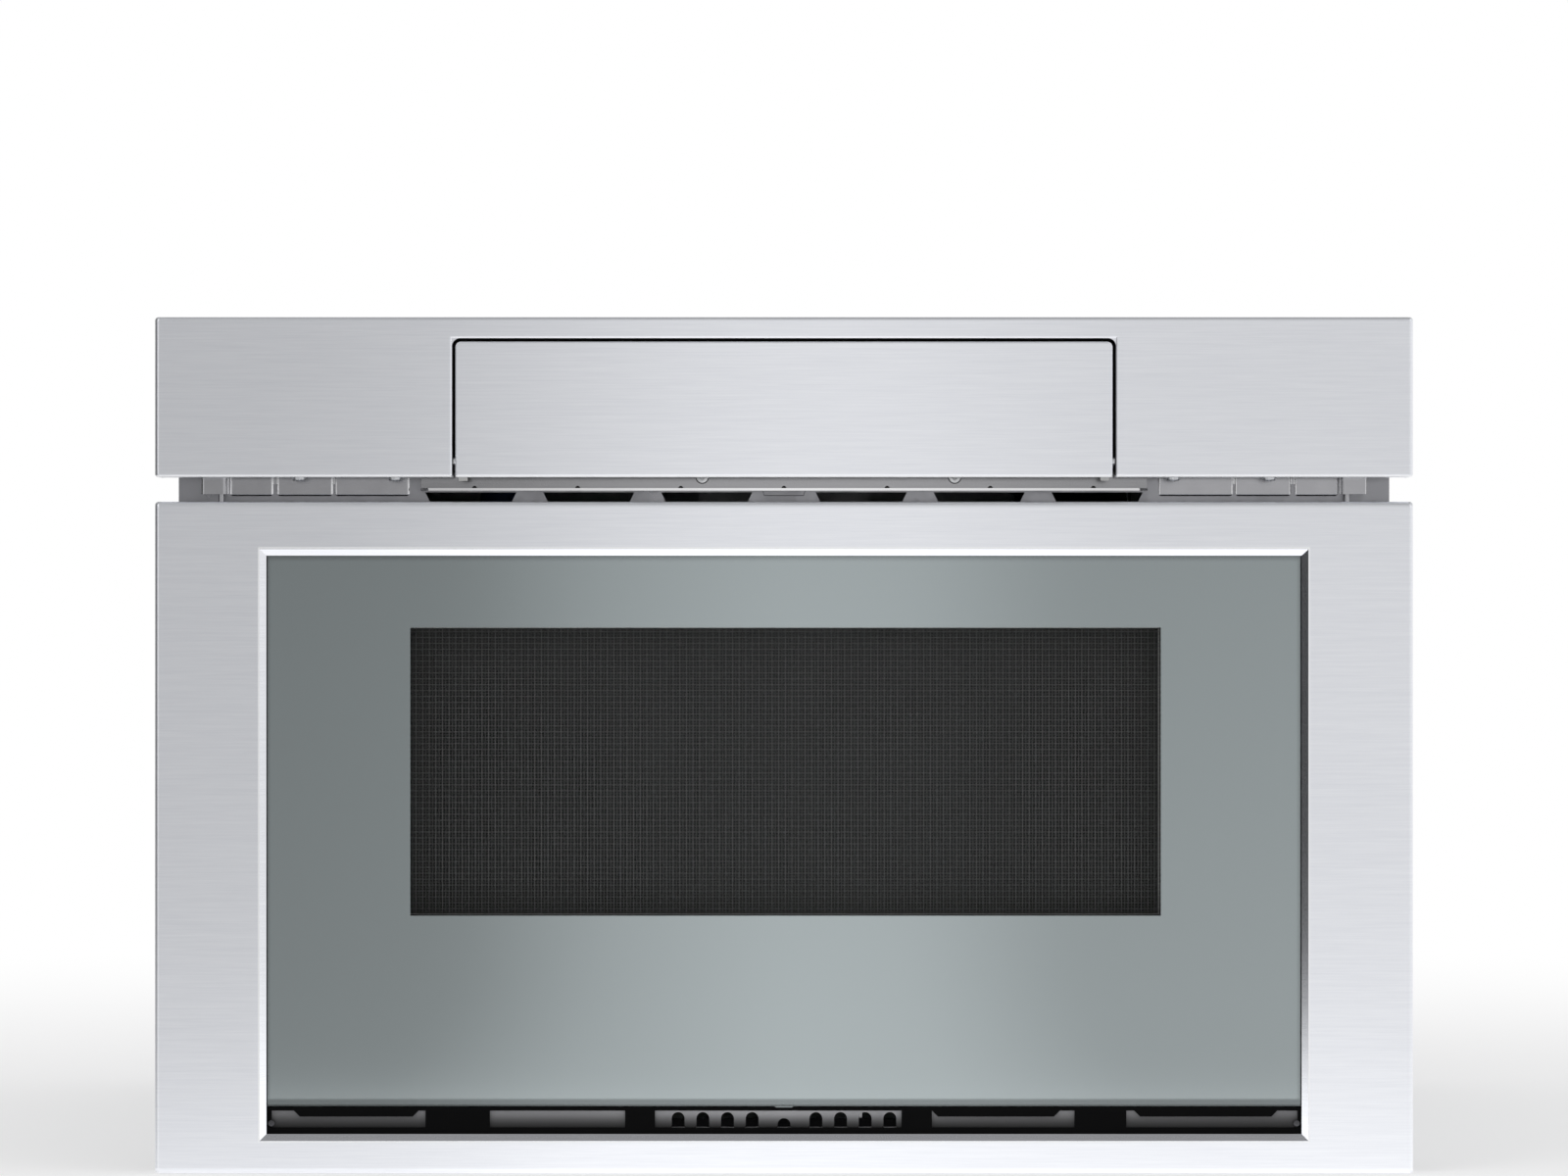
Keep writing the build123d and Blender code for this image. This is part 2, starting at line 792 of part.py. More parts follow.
with BuildPart(Plane((0, stirrer_y, waveguide_top))) as stirrer_motor:
    Cylinder(stirrer_motor_radius, stirrer_motor_height, align=(Align.CENTER, Align.CENTER, Align.MIN))
    with BuildSketch(Plane((0, stirrer_y, waveguide_top))):
        SlotCenterToCenter(2 * (stirrer_motor_radius + stirrer_motor_ear), 2 * stirrer_motor_ear)
        with GridLocations(2 * (stirrer_motor_radius + stirrer_motor_ear), 0, 2, 1):
            Circle(stirrer_shaft_radius / 2, mode=Mode.SUBTRACT)
    extrude(amount=waveguide_sheet)
    Cylinder(stirrer_shaft_radius + running_clearance, stirrer_motor_height / 2 + shaft_end_gap,
             align=(Align.CENTER, Align.CENTER, Align.MIN), mode=Mode.SUBTRACT)
stirrer_motor.part.label = "stirrer_motor"
export_step(stirrer_motor.part, "parts/stirrer_motor.step")

# Magnetron: its plate, antenna, cooling fins, magnets and the filter box with the terminals.
plate_x, plate_y, plate_z = magnetron_plate
filter_x, filter_y, filter_z = magnetron_filter
frame_half = plate_x / 2 - magnetron_frame_inset

with BuildPart(Plane((0, magnetron_y, recess_roof))) as magnetron:
    Box(plate_x, plate_y, plate_z, align=(Align.CENTER, Align.CENTER, Align.MAX))
    Cylinder(magnetron_antenna_radius, magnetron_antenna_height,
             align=(Align.CENTER, Align.CENTER, Align.MIN))
    chamfer(magnetron.edges().group_by(Axis.Z)[-1], magnetron_antenna_radius / 3)
    with Locations((0, 0, -plate_z)):
        Cylinder(magnetron_anode_radius, magnetron_frame_height,
                 align=(Align.CENTER, Align.CENTER, Align.MAX))
        Cylinder(magnetron_magnet_radius, magnetron_magnet_height,
                 align=(Align.CENTER, Align.CENTER, Align.MAX))
    with Locations((0, 0, -plate_z - magnetron_frame_height)):
        Cylinder(magnetron_magnet_radius, magnetron_magnet_height,
                 align=(Align.CENTER, Align.CENTER, Align.MIN))
        Box(2 * frame_half, magnetron_frame_depth, plate_z,
            align=(Align.CENTER, Align.CENTER, Align.MAX))
    with Locations(*[(side * (frame_half - plate_z / 2), 0, -plate_z) for side in (-1, 1)]):
        Box(plate_z, magnetron_frame_depth, magnetron_frame_height,
            align=(Align.CENTER, Align.CENTER, Align.MAX))
    with Locations((0, 0, -plate_z - magnetron_frame_height / 2)):
        with Locations(*[(0, 0, (k - (magnetron_fin_count - 1) / 2) * magnetron_fin_pitch)
                         for k in range(magnetron_fin_count)]):
            Box(2 * (frame_half - plate_z), magnetron_frame_depth - 2 * magnetron_fin_inset, magnetron_fin)
    with Locations((0, 0, -2 * plate_z - magnetron_frame_height)):
        Box(filter_x, filter_y, filter_z, align=(Align.CENTER, Align.CENTER, Align.MAX))
        with Locations((-filter_x / 2, 0, -filter_z / 2)):
            Box(*magnetron_terminal, align=(Align.MAX, Align.CENTER, Align.CENTER))
magnetron.part.label = "magnetron"
export_step(magnetron.part, "parts/magnetron.step")

# High-voltage transformer: a laminated core on its foot plate, and two coils round its limb.
core_low = base_sheet + foot_plate
core_mid_z = core_low + core_height / 2
coil_height = core_height / 2 - core_limb - coil_gap

with BuildPart() as transformer_core:
    with BuildSketch(facing(transformer_y + core_depth / 2)):
        with Locations((transformer_x, core_mid_z)):
            Rectangle(core_width, core_height)
            with GridLocations(2 * core_limb + core_window, 0, 2, 1):
                Rectangle(core_window, core_height - 2 * core_limb, mode=Mode.SUBTRACT)
    extrude(amount=core_depth)
    with BuildSketch(level(base_sheet)):
        with Locations((transformer_x, transformer_y)):
            Rectangle(core_width + 2 * foot_lap, core_depth)
            with GridLocations(core_width + foot_lap, core_depth - 2 * foot_lap, 2, 2):
                Circle(foot_plate, mode=Mode.SUBTRACT)
    extrude(amount=foot_plate)
transformer_core.part.label = "transformer_core"
export_step(transformer_core.part, "parts/transformer_core.step")

with BuildPart() as transformer_coils:
    for coil_z in (core_mid_z - coil_height - coil_gap, core_mid_z + coil_gap):
        with BuildSketch(level(coil_z)):
            with Locations((transformer_x, transformer_y)):
                RectangleRounded(2 * (core_limb + core_window - coil_gap),
                                 core_depth + 2 * (core_window - coil_gap), core_window / 2)
                Rectangle(2 * (core_limb + coil_gap), core_depth + 2 * coil_gap, mode=Mode.SUBTRACT)
        extrude(amount=coil_height)
transformer_coils.part.label = "transformer_coils"
export_step(transformer_coils.part, "parts/transformer_coils.step")

with BuildPart() as capacitor:
    with BuildSketch(level(base_sheet)):
        with Locations((capacitor_x, capacitor_y)):
            SlotOverall(capacitor_width, capacitor_thickness)
    extrude(amount=capacitor_height)
    chamfer(capacitor.faces().sort_by(Axis.Z)[-1].edges(), foot_plate)
    with BuildSketch(level(base_sheet + capacitor_height)):
        with Locations((capacitor_x, capacitor_y)):
            with GridLocations(capacitor_width / 2, 0, 2, 1):
                Rectangle(terminal_height, case_sheet)
    extrude(amount=terminal_height)
capacitor.part.label = "capacitor"
export_step(capacitor.part, "parts/capacitor.step")

# Boards: the power board above the cavity and the mains filter on the bulkhead.
board_z = cavity_roof + standoff_height

with BuildPart() as power_board:
    with BuildSketch(level(cavity_roof)):
        with Locations((power_board_x, power_board_y)):
            with GridLocations(power_board_width - 2 * standoff_inset,
                               power_board_depth - 2 * standoff_inset, 2, 2):
                RegularPolygon(standoff_radius, 6)
    extrude(amount=standoff_height)
    with BuildSketch(level(board_z)):
        with Locations((power_board_x, power_board_y)):
            Rectangle(power_board_width, power_board_depth)
    extrude(amount=board_sheet)
    with BuildSketch(level(board_z + board_sheet)):
        with Locations((power_board_x - relay_side, power_board_y)):
            with GridLocations(0, relay_pitch, 1, relay_count):
                Rectangle(relay_width, relay_depth)
    extrude(amount=relay_height)
    with BuildSketch(level(board_z + board_sheet)):
        with Locations((power_board_x + can_side, power_board_y)):
            with GridLocations(0, can_pitch, 1, can_count):
                Circle(can_radius)
    extrude(amount=can_height)
power_board.part.label = "power_board"
export_step(power_board.part, "parts/power_board.step")

filter_face = bulkhead_y + case_sheet + filter_standoff

with BuildPart() as filter_board:
    with BuildSketch(facing(filter_face)):
        with Locations((filter_board_x, filter_board_z)):
            with GridLocations(filter_board_width - 2 * standoff_inset,
                               filter_board_height - 2 * standoff_inset, 2, 2):
                RegularPolygon(standoff_radius, 6)
    extrude(amount=filter_standoff)
    with BuildSketch(facing(filter_face + board_sheet)):
        with Locations((filter_board_x, filter_board_z)):
            Rectangle(filter_board_width, filter_board_height)
    extrude(amount=board_sheet)
    with BuildSketch(facing(filter_face + board_sheet + choke_coil_height)):
        with Locations((filter_board_x - filter_part_side, filter_board_z)):
            Circle(choke_coil_radius)
            Circle(choke_coil_radius / 2, mode=Mode.SUBTRACT)
        with Locations((filter_board_x + filter_part_side, filter_board_z)):
            Rectangle(filter_cap_width, filter_cap_height)
    extrude(amount=choke_coil_height)
filter_board.part.label = "filter_board"
export_step(filter_board.part, "parts/filter_board.step")

# Cooling fan: shroud on the bulkhead, motor on its three arms, and the rotor with bowed blades.
fan_plate_back = bulkhead_y + case_sheet + fan_ring_wall
fan_ring_back = bulkhead_y + case_sheet + fan_ring_depth
fan_bore = fan_radius + fan_tip_gap
fan_rotor_back = fan_ring_back - fan_rotor_inset

with BuildPart() as fan_shroud:
    with BuildSketch(facing(fan_plate_back)):
        with Locations((fan_x, fan_z)):
            RectangleRounded(fan_plate, fan_plate, 2 * fan_ring_wall)
            Circle(fan_bore, mode=Mode.SUBTRACT)
    extrude(amount=fan_ring_wall)
    with BuildSketch(facing(fan_ring_back)):
        with Locations((fan_x, fan_z)):
            Circle(fan_bore + fan_ring_wall)
            Circle(fan_bore, mode=Mode.SUBTRACT)
    extrude(amount=fan_ring_depth - fan_ring_wall)
    with BuildSketch(facing(fan_ring_back + fan_ring_wall)):
        with Locations((fan_x, fan_z)):
            Circle(fan_bore + fan_ring_wall)
            Circle(fan_bore, mode=Mode.SUBTRACT)
            with PolarLocations(fan_bore / 2, fan_arm_count, start_angle=90):
                Rectangle(fan_bore + fan_ring_wall, fan_arm)
            Circle(fan_motor_radius)
            Circle(fan_shaft_radius + shaft_hole_gap, mode=Mode.SUBTRACT)
    extrude(amount=fan_ring_wall)
fan_shroud.part.label = "fan_shroud"
export_step(fan_shroud.part, "parts/fan_shroud.step")

fan_motor_face = fan_ring_back + fan_ring_wall

with BuildPart() as fan_motor:
    with BuildSketch(facing(fan_motor_face + fan_motor_depth)):
        with Locations((fan_x, fan_z)):
            Circle(fan_motor_radius)
    extrude(amount=fan_motor_depth)
    chamfer(fan_motor.faces().sort_by(Axis.Y)[-1].edges(), 2 * fan_ring_wall)
    with BuildSketch(facing(fan_motor_face + fan_bearing_depth)):
        with Locations((fan_x, fan_z)):
            Circle(fan_shaft_radius + running_clearance)
    extrude(amount=fan_bearing_depth, mode=Mode.SUBTRACT)
fan_motor.part.label = "fan_motor"
export_step(fan_motor.part, "parts/fan_motor.step")

with BuildPart() as fan_blade_blank:
    with BuildSketch(sideways(fan_hub_radius - fan_blade_sheet)):
        with BuildLine():
            low = (-fan_blade_span_y / 2, -fan_blade_rise / 2)
            high = (fan_blade_span_y / 2, fan_blade_rise / 2)
            upper = ThreePointArc(low, (-fan_blade_bow / 2, fan_blade_bow), high)
            Line(high, (high[0], high[1] - fan_blade_sheet))
            ThreePointArc((high[0], high[1] - fan_blade_sheet),
                          (-fan_blade_bow / 2, fan_blade_bow - fan_blade_sheet),
                          (low[0], low[1] - fan_blade_sheet))
            Line((low[0], low[1] - fan_blade_sheet), low)
        make_face()
    extrude(amount=fan_radius - fan_hub_radius + fan_blade_sheet)
    with BuildSketch(facing(fan_blade_span_y)):
        Circle(fan_radius)
    extrude(amount=2 * fan_blade_span_y, mode=Mode.INTERSECT)

fan_shaft_reach = fan_rotor_inset + fan_ring_wall + fan_bearing_depth - shaft_end_gap

with BuildPart(Plane((fan_x, fan_rotor_back - fan_blade_span_y / 2, fan_z))) as fan_rotor:
    Cylinder(fan_hub_radius, fan_blade_span_y, rotation=(90, 0, 0))
    for k in range(fan_blade_count):
        with Locations(Rotation(0, k * 360 / fan_blade_count, 0)):
            add(fan_blade_blank.part)
    with Locations((0, fan_blade_span_y / 2, 0)):
        Cylinder(fan_shaft_radius, 2 * fan_shaft_reach, rotation=(90, 0, 0))
fan_rotor.part.label = "fan_rotor"
export_step(fan_rotor.part, "parts/fan_rotor.step")

# Cavity lamp: a holder on the cavity's roof and the bulb in it, above the pierced window.
lamp_w, lamp_d, lamp_h = lamp_body

with BuildPart() as lamp_holder:
    with BuildSketch(level(cavity_roof)):
        with Locations((lamp_x, lamp_y)):
            RectangleRounded(lamp_w, lamp_d, lamp_body_radius)
    extrude(amount=lamp_h)
    with BuildSketch(level(cavity_roof)):
        with Locations((lamp_x, lamp_y)):
            Circle(lamp_window_radius)
    extrude(amount=lamp_cap_length + lamp_bulb_length, mode=Mode.SUBTRACT)
lamp_holder.part.label = "lamp_holder"
export_step(lamp_holder.part, "parts/lamp_holder.step")

with BuildPart(Plane((lamp_x, lamp_y, cavity_roof + lamp_cap_length + lamp_bulb_length))) as lamp_bulb:
    Cylinder(lamp_cap_radius, lamp_cap_length, align=(Align.CENTER, Align.CENTER, Align.MAX))
    with Locations((0, 0, -lamp_cap_length)):
        Cylinder(lamp_bulb_radius, lamp_bulb_length - running_clearance,
                 align=(Align.CENTER, Align.CENTER, Align.MAX))
    chamfer(lamp_bulb.edges().group_by(Axis.Z)[0], lamp_bulb_tip)
lamp_bulb.part.label = "lamp_bulb"
export_step(lamp_bulb.part, "parts/lamp_bulb.step")

# Slides: brackets that stand on the base, and three nested members on each side. The gap
# between the members is what the ball cages fill on the real slides.
with BuildPart() as rail_brackets:
    with BuildSketch(facing(rail_front + rail_length)):
        rect(rail_wall_x, rail_wall_x + bracket_sheet, base_sheet,
             rail_z + rail_height / 2 + bracket_sheet)
        rect(rail_wall_x, rail_wall_x + bracket_foot, base_sheet, base_sheet + bracket_sheet)
    extrude(amount=rail_length)
    with BuildSketch(sideways(rail_wall_x)):
        with Locations((rail_front + rail_length / 2, bracket_slot_z)):
            with GridLocations(rail_length / bracket_slot_count, 0, bracket_slot_count, 1):
                Rectangle(rail_length / bracket_slot_count / 2, bracket_slot)
    extrude(amount=bracket_sheet, mode=Mode.SUBTRACT)
    mirror(about=Plane.YZ)
rail_brackets.part.label = "rail_brackets"
export_step(rail_brackets.part, "parts/rail_brackets.step")

rail_step = rail_sheet + rail_gap
rail_mid_x = rail_wall_x - rail_width / 2
rail_back = rail_front + rail_length
lips_x = rail_wall_x - rail_width

with BuildPart() as rail_outers:
    with BuildSketch(facing(rail_back)):
        with Locations((rail_mid_x, rail_z)):
            RectangleRounded(rail_width, rail_height, rail_corner)
            RectangleRounded(rail_width - 2 * rail_sheet, rail_height - 2 * rail_sheet,
                             rail_corner - rail_sheet, mode=Mode.SUBTRACT)
        rect(lips_x, lips_x + rail_sheet,
             rail_z - rail_mouth / 2, rail_z + rail_mouth / 2, Mode.SUBTRACT)
    extrude(amount=rail_length)
    mirror(about=Plane.YZ)
rail_outers.part.label = "rail_outers"
export_step(rail_outers.part, "parts/rail_outers.step")

middle_width = rail_width - 2 * rail_step
middle_height = rail_height - 2 * rail_step
middle_mouth = rail_mouth - 2 * rail_step

with BuildPart() as rail_middles:
    with BuildSketch(facing(rail_back)):
        with Locations((rail_mid_x, rail_z)):
            RectangleRounded(middle_width, middle_height, rail_corner - rail_step)
            RectangleRounded(middle_width - 2 * rail_sheet, middle_height - 2 * rail_sheet,
                             rail_gap, mode=Mode.SUBTRACT)
        rect(lips_x + rail_step, lips_x + rail_step + rail_sheet,
             rail_z - middle_mouth / 2, rail_z + middle_mouth / 2, Mode.SUBTRACT)
    extrude(amount=rail_length)
    mirror(about=Plane.YZ)
rail_middles.part.label = "rail_middles"
export_step(rail_middles.part, "parts/rail_middles.step")

inner_low_x = lips_x + 2 * rail_step
inner_high_x = rail_wall_x - 2 * rail_step
inner_half = rail_height / 2 - 2 * rail_step
beam_face = lips_x - rail_boss_reach

with BuildPart() as rail_inners:
    with BuildSketch(facing(rail_back)):
        rect(inner_low_x, inner_high_x, rail_z - inner_half, rail_z + inner_half)
        rect(inner_low_x + rail_sheet, inner_high_x, rail_z - inner_half + rail_sheet,
             rail_z + inner_half - rail_sheet, Mode.SUBTRACT)
    extrude(amount=rail_length)
    with BuildSketch(sideways(beam_face)):
        with Locations((rail_front + rail_length / 2, rail_z)):
            with GridLocations(rail_boss_pitch, 0, 3, 1):
                Circle(rail_boss_radius)
    extrude(amount=inner_low_x - beam_face)
    mirror(about=Plane.YZ)
rail_inners.part.label = "rail_inners"
export_step(rail_inners.part, "parts/rail_inners.step")

# Drawer underframe: two channel beams on the inner slide members, a front plate that is
# bolted to the back of the door, and a rear crossbar that holds the end of the rack.
beam_low = rail_z - beam_height / 2
beam_high = rail_z + beam_height / 2
beam_front = door_rear + beam_sheet

with BuildPart() as drawer_underframe:
    with BuildSketch(facing(frame_end)):
        rect(beam_face - beam_width, beam_face, beam_low, beam_high)
        rect(beam_face - beam_width, beam_face - beam_sheet,
             beam_low + beam_sheet, beam_high - beam_sheet, Mode.SUBTRACT)
    extrude(amount=frame_end - beam_front)
    mirror(about=Plane.YZ)
    with BuildSketch(facing(beam_front)):
        rect(-beam_face, beam_face, front_plate_low, front_plate_high)
        for side in (-1, 1):
            rect(*sorted((side * (rack_x + gear_face), side * (beam_face - 2 * beam_width))),
                 front_plate_low + front_plate_web, front_plate_high - front_plate_web, Mode.SUBTRACT)
    extrude(amount=beam_sheet)
    with BuildSketch(level(beam_high)):
        rect(-beam_face, beam_face, frame_end - crossbar_depth, frame_end)
    extrude(amount=crossbar_height)
    with BuildSketch(level(beam_high)):
        rect(-(beam_face - beam_width), beam_face - beam_width,
             frame_end - crossbar_depth, frame_end - beam_sheet)
    extrude(amount=crossbar_height - beam_sheet, mode=Mode.SUBTRACT)
    with BuildSketch(level(beam_high)):
        rect(rack_x - gear_face, rack_x + gear_face, frame_end - crossbar_depth, frame_end)
    extrude(amount=crossbar_height)
drawer_underframe.part.label = "drawer_underframe"
export_step(drawer_underframe.part, "parts/drawer_underframe.step")

# Rack and pinion: the rack hangs under the drawer, with teeth down, and runs over the pinion.
rack_pitch = math.pi * gear_module
pinion_radius = gear_module * pinion_tooth_count / 2
pinion_z = pitch_line_z - pinion_radius
rack_root = pitch_line_z + dedendum * gear_module
flank = math.tan(math.radians(pressure_angle))
tooth_base = rack_pitch / 2 - backlash + 2 * dedendum * gear_module * flank
teeth_ahead = math.floor((pinion_y - beam_front) / rack_pitch - 0.5)
teeth_behind = math.floor((frame_end - pinion_y) / rack_pitch - 0.5)

with BuildPart() as drive_rack:
    with BuildSketch(sideways(rack_x - gear_face / 2)):
        rect(beam_front, frame_end, rack_root, beam_high)
        teeth = [(pinion_y + k * rack_pitch, rack_root) for k in range(-teeth_ahead, teeth_behind + 1)]
        with Locations(*teeth):
            Trapezoid(tooth_base, (1 + dedendum) * gear_module, 90 - pressure_angle, rotation=180,
                      align=(Align.CENTER, Align.MIN))
    extrude(amount=gear_face)
drive_rack.part.label = "drive_rack"
export_step(drive_rack.part, "parts/drive_rack.step")

gap_up = 90 + 180 / pinion_tooth_count
pinion_left = rack_x - gear_face / 2
gearbox_left = rack_x + gear_face / 2 + motor_plate + pinion_side_gap

with BuildPart() as drive_pinion:
    with BuildSketch(sideways(pinion_left)):
        with Locations((pinion_y, pinion_z)):
            add(gear(gear_module, pinion_tooth_count, backlash, tooth_steps, gap_up))
    extrude(amount=gear_face)
    with BuildSketch(sideways(pinion_left)):
        with Locations((pinion_y, pinion_z)):
            Circle(drive_shaft_radius)
    extrude(amount=gearbox_left + drive_shaft_seat - pinion_left)
drive_pinion.part.label = "drive_pinion"
export_step(drive_pinion.part, "parts/drive_pinion.step")

with BuildPart() as drive_motor:
    with BuildSketch(sideways(gearbox_left)):
        rect(rail_front, rail_front + gearbox_depth, gearbox_low, gearbox_high)
    extrude(amount=gearbox_width)
    fillet(drive_motor.edges().filter_by(Axis.X), drive_shaft_radius)
    with BuildSketch(sideways(gearbox_left + gearbox_width)):
        with Locations((pinion_y, (gearbox_low + gearbox_high) / 2)):
            Circle(drive_can_radius)
    extrude(amount=drive_can_length)
    with BuildSketch(sideways(gearbox_left + gearbox_width + drive_can_length)):
        with Locations((pinion_y, (gearbox_low + gearbox_high) / 2)):
            Circle(drive_can_radius / 2)
    extrude(amount=drive_shaft_radius)
    with BuildSketch(sideways(gearbox_left - motor_plate)):
        rect(rail_front, rail_front + gearbox_depth, base_sheet, gearbox_high)
    extrude(amount=motor_plate)
    with BuildSketch(level(base_sheet)):
        rect(gearbox_left, gearbox_left + motor_foot, rail_front, rail_front + gearbox_depth)
    extrude(amount=motor_plate)
    with BuildSketch(sideways(gearbox_left - motor_plate)):
        with Locations((pinion_y, pinion_z)):
            Circle(drive_shaft_radius + running_clearance)
    extrude(amount=motor_plate + drive_shaft_seat + shaft_end_gap, mode=Mode.SUBTRACT)
drive_motor.part.label = "drive_motor"
export_step(drive_motor.part, "parts/drive_motor.step")

# Drawer tray: a deep-drawn steel box, open on top and low at the front, and its glass-ceramic
# floor plate. The door closes its front.
tray_half = tray_width / 2 + tray_wall
tray_back = door_rear + tray_wall + tray_depth + tray_wall
tray_top = tray_underside + tray_side_height

with BuildPart() as drawer_tray:
    with BuildSketch(level(tray_underside)):
        rect(-tray_half, tray_half, door_rear, tray_back)
    extrude(amount=tray_side_height)
    fillet(drawer_tray.edges().filter_by(Axis.Z).group_by(Axis.Y)[-1], tray_corner)
    fillet(drawer_tray.faces().sort_by(Axis.Z)[0].edges().filter_by(
        lambda edge: edge.center().Y > door_rear + tray_wall), tray_floor_bend)
    offset(amount=-tray_wall, openings=drawer_tray.faces().sort_by(Axis.Z)[-1])
    with BuildSketch(facing(door_rear + tray_wall)):
        rect(-tray_width / 2, tray_width / 2, tray_underside + tray_lip_height, tray_top)
    extrude(amount=tray_wall, mode=Mode.SUBTRACT)
    with BuildSketch(level(tray_top - tray_wall)) as rim:
        rect(-(tray_half + tray_rim), tray_half + tray_rim, door_rear, tray_back + tray_rim)
        fillet(rim.vertices().group_by(Axis.Y)[-1], tray_corner + tray_rim)
        rect(-tray_width / 2, tray_width / 2,
             door_rear, tray_back - tray_wall - tray_corner, Mode.SUBTRACT)
        with Locations((0, tray_back - tray_wall - tray_corner)):
            RectangleRounded(tray_width, 2 * tray_corner, tray_corner - tray_wall, mode=Mode.SUBTRACT)
    extrude(amount=tray_wall)
drawer_tray.part.label = "drawer_tray"
export_step(drawer_tray.part, "parts/drawer_tray.step")

with BuildPart() as floor_plate:
    with BuildSketch(level(tray_underside + tray_wall)):
        with Locations((0, door_rear + tray_wall + tray_depth / 2)):
            RectangleRounded(tray_width - 2 * shelf_plate_margin, tray_depth - 2 * shelf_plate_margin,
                             shelf_plate_corner)
    extrude(amount=shelf_plate)
    chamfer(floor_plate.faces().sort_by(Axis.Z)[-1].edges(), shelf_plate / 4)
floor_plate.part.label = "floor_plate"
export_step(floor_plate.part, "parts/floor_plate.step")

# Drawer front: a stainless pan with a mitred bevel round the opening for the glass.
with BuildPart() as door_frame:
    with BuildSketch(facing(front_y + door_return)):
        rect(-front_half, front_half, door_bottom, door_top)
    extrude(amount=door_return)
    fillet(door_frame.edges().filter_by(Axis.Y), front_corner)
    fillet(door_frame.faces().sort_by(Axis.Y)[0].edges(), front_bend)
    offset(amount=-front_sheet, openings=door_frame.faces().sort_by(Axis.Y)[-1])
    with BuildSketch(facing(glass_front)):
        rect(-(opening_width / 2 + front_sheet), opening_width / 2 + front_sheet,
             opening_bottom - front_sheet, opening_top + front_sheet)
    extrude(amount=bevel - front_sheet / 2)
    with BuildSketch(facing(front_y)):
        rect(-opening_width / 2, opening_width / 2, opening_bottom, opening_top)
    with BuildSketch(facing(glass_front)):
        rect(-(opening_width / 2 - bevel), opening_width / 2 - bevel,
             opening_bottom + bevel, opening_top - bevel)
    loft(mode=Mode.SUBTRACT)
door_frame.part.label = "door_frame"
export_step(door_frame.part, "parts/door_frame.step")

with BuildPart() as door_glass:
    with BuildSketch(facing(glass_back)) as pane_outline:
        rect(-(opening_width / 2 - bevel + glass_lap), opening_width / 2 - bevel + glass_lap,
             glass_low, opening_top - bevel + glass_lap)
        fillet(pane_outline.vertices(), glass_corner)
    extrude(amount=glass_sheet)
    chamfer(door_glass.faces().sort_by(Axis.Y)[0].edges().sort_by(Axis.Z)[0], glass_corner / 2)
door_glass.part.label = "door_glass"
export_step(door_glass.part, "parts/door_glass.step")

# Inner door: one pressed steel frame. Its window holds the screen, the channel round it is the
# choke that keeps microwaves in, and the skirt below is bolted to the underframe.
choke_in_half = cavity_half + choke_gap
choke_in_rise = cavity_rise + choke_gap
choke_out_half = choke_in_half + choke_width
choke_out_rise = choke_in_rise + choke_width
inner_top = cavity_mid_z + choke_out_rise
inner_depth = door_rear - glass_back
ring_low = cavity_mid_z - choke_out_rise


def choke_ring(half_out, rise_out, half_in, rise_in):
    """A rectangular ring round the middle of the cavity's mouth."""
    with Locations((0, cavity_mid_z)):
        Rectangle(2 * half_out, 2 * rise_out)
        Rectangle(2 * half_in, 2 * rise_in, mode=Mode.SUBTRACT)


with BuildPart() as inner_door:
    with BuildSketch(facing(glass_back + inner_sheet)):
        choke_ring(choke_out_half, choke_out_rise,
                   choke_in_half - inner_sheet, choke_in_rise - inner_sheet)
        rect(-choke_out_half, choke_out_half, skirt_low, ring_low)
    extrude(amount=inner_sheet)
    with BuildSketch(facing(door_rear)):
        choke_ring(choke_in_half, choke_in_rise, choke_in_half - inner_sheet, choke_in_rise - inner_sheet)
        rect(-choke_out_half, choke_out_half, skirt_low, inner_top)
        rect(-(choke_out_half - inner_sheet), choke_out_half - inner_sheet, skirt_low + inner_sheet,
             inner_top - inner_sheet, Mode.SUBTRACT)
        choke_ring(choke_in_half, choke_in_rise, choke_in_half - inner_sheet, choke_in_rise - inner_sheet)
        rect(-choke_out_half, choke_out_half, ring_low, ring_low + inner_sheet)
    extrude(amount=inner_depth)
    with BuildSketch(facing(door_rear)):
        rect(-choke_out_half, choke_out_half, skirt_low, ring_low + choke_lip)
        choke_ring(choke_out_half, choke_out_rise,
                   choke_out_half - choke_lip, choke_out_rise - choke_lip)
        with Locations((0, cavity_mid_z)):
            Rectangle(2 * choke_in_half, 2 * choke_in_rise)
        with Locations((0, window_mid_z)):
            Rectangle(window_width, window_height, mode=Mode.SUBTRACT)
        with Locations((0, cavity_mid_z)):
            with GridLocations(choke_slit_pitch, 2 * choke_out_rise - choke_lip - inner_sheet,
                               choke_slit_columns, 2):
                Rectangle(choke_slit, choke_lip - inner_sheet, mode=Mode.SUBTRACT)
            with GridLocations(2 * choke_out_half - choke_lip - inner_sheet, choke_slit_pitch,
                               2, choke_slit_rows):
                Rectangle(choke_lip - inner_sheet, choke_slit, mode=Mode.SUBTRACT)
    extrude(amount=inner_sheet)
inner_door.part.label = "inner_door"
export_step(inner_door.part, "parts/inner_door.step")

with BuildPart() as choke_cover:
    with BuildSketch(facing(door_rear + choke_cover_sheet)):
        choke_ring(choke_out_half - choke_lip + choke_cover_lap,
                   choke_out_rise - choke_lip + choke_cover_lap,
                   choke_in_half - choke_cover_lap, choke_in_rise - choke_cover_lap)
    extrude(amount=choke_cover_sheet)
choke_cover.part.label = "choke_cover"
export_step(choke_cover.part, "parts/choke_cover.step")

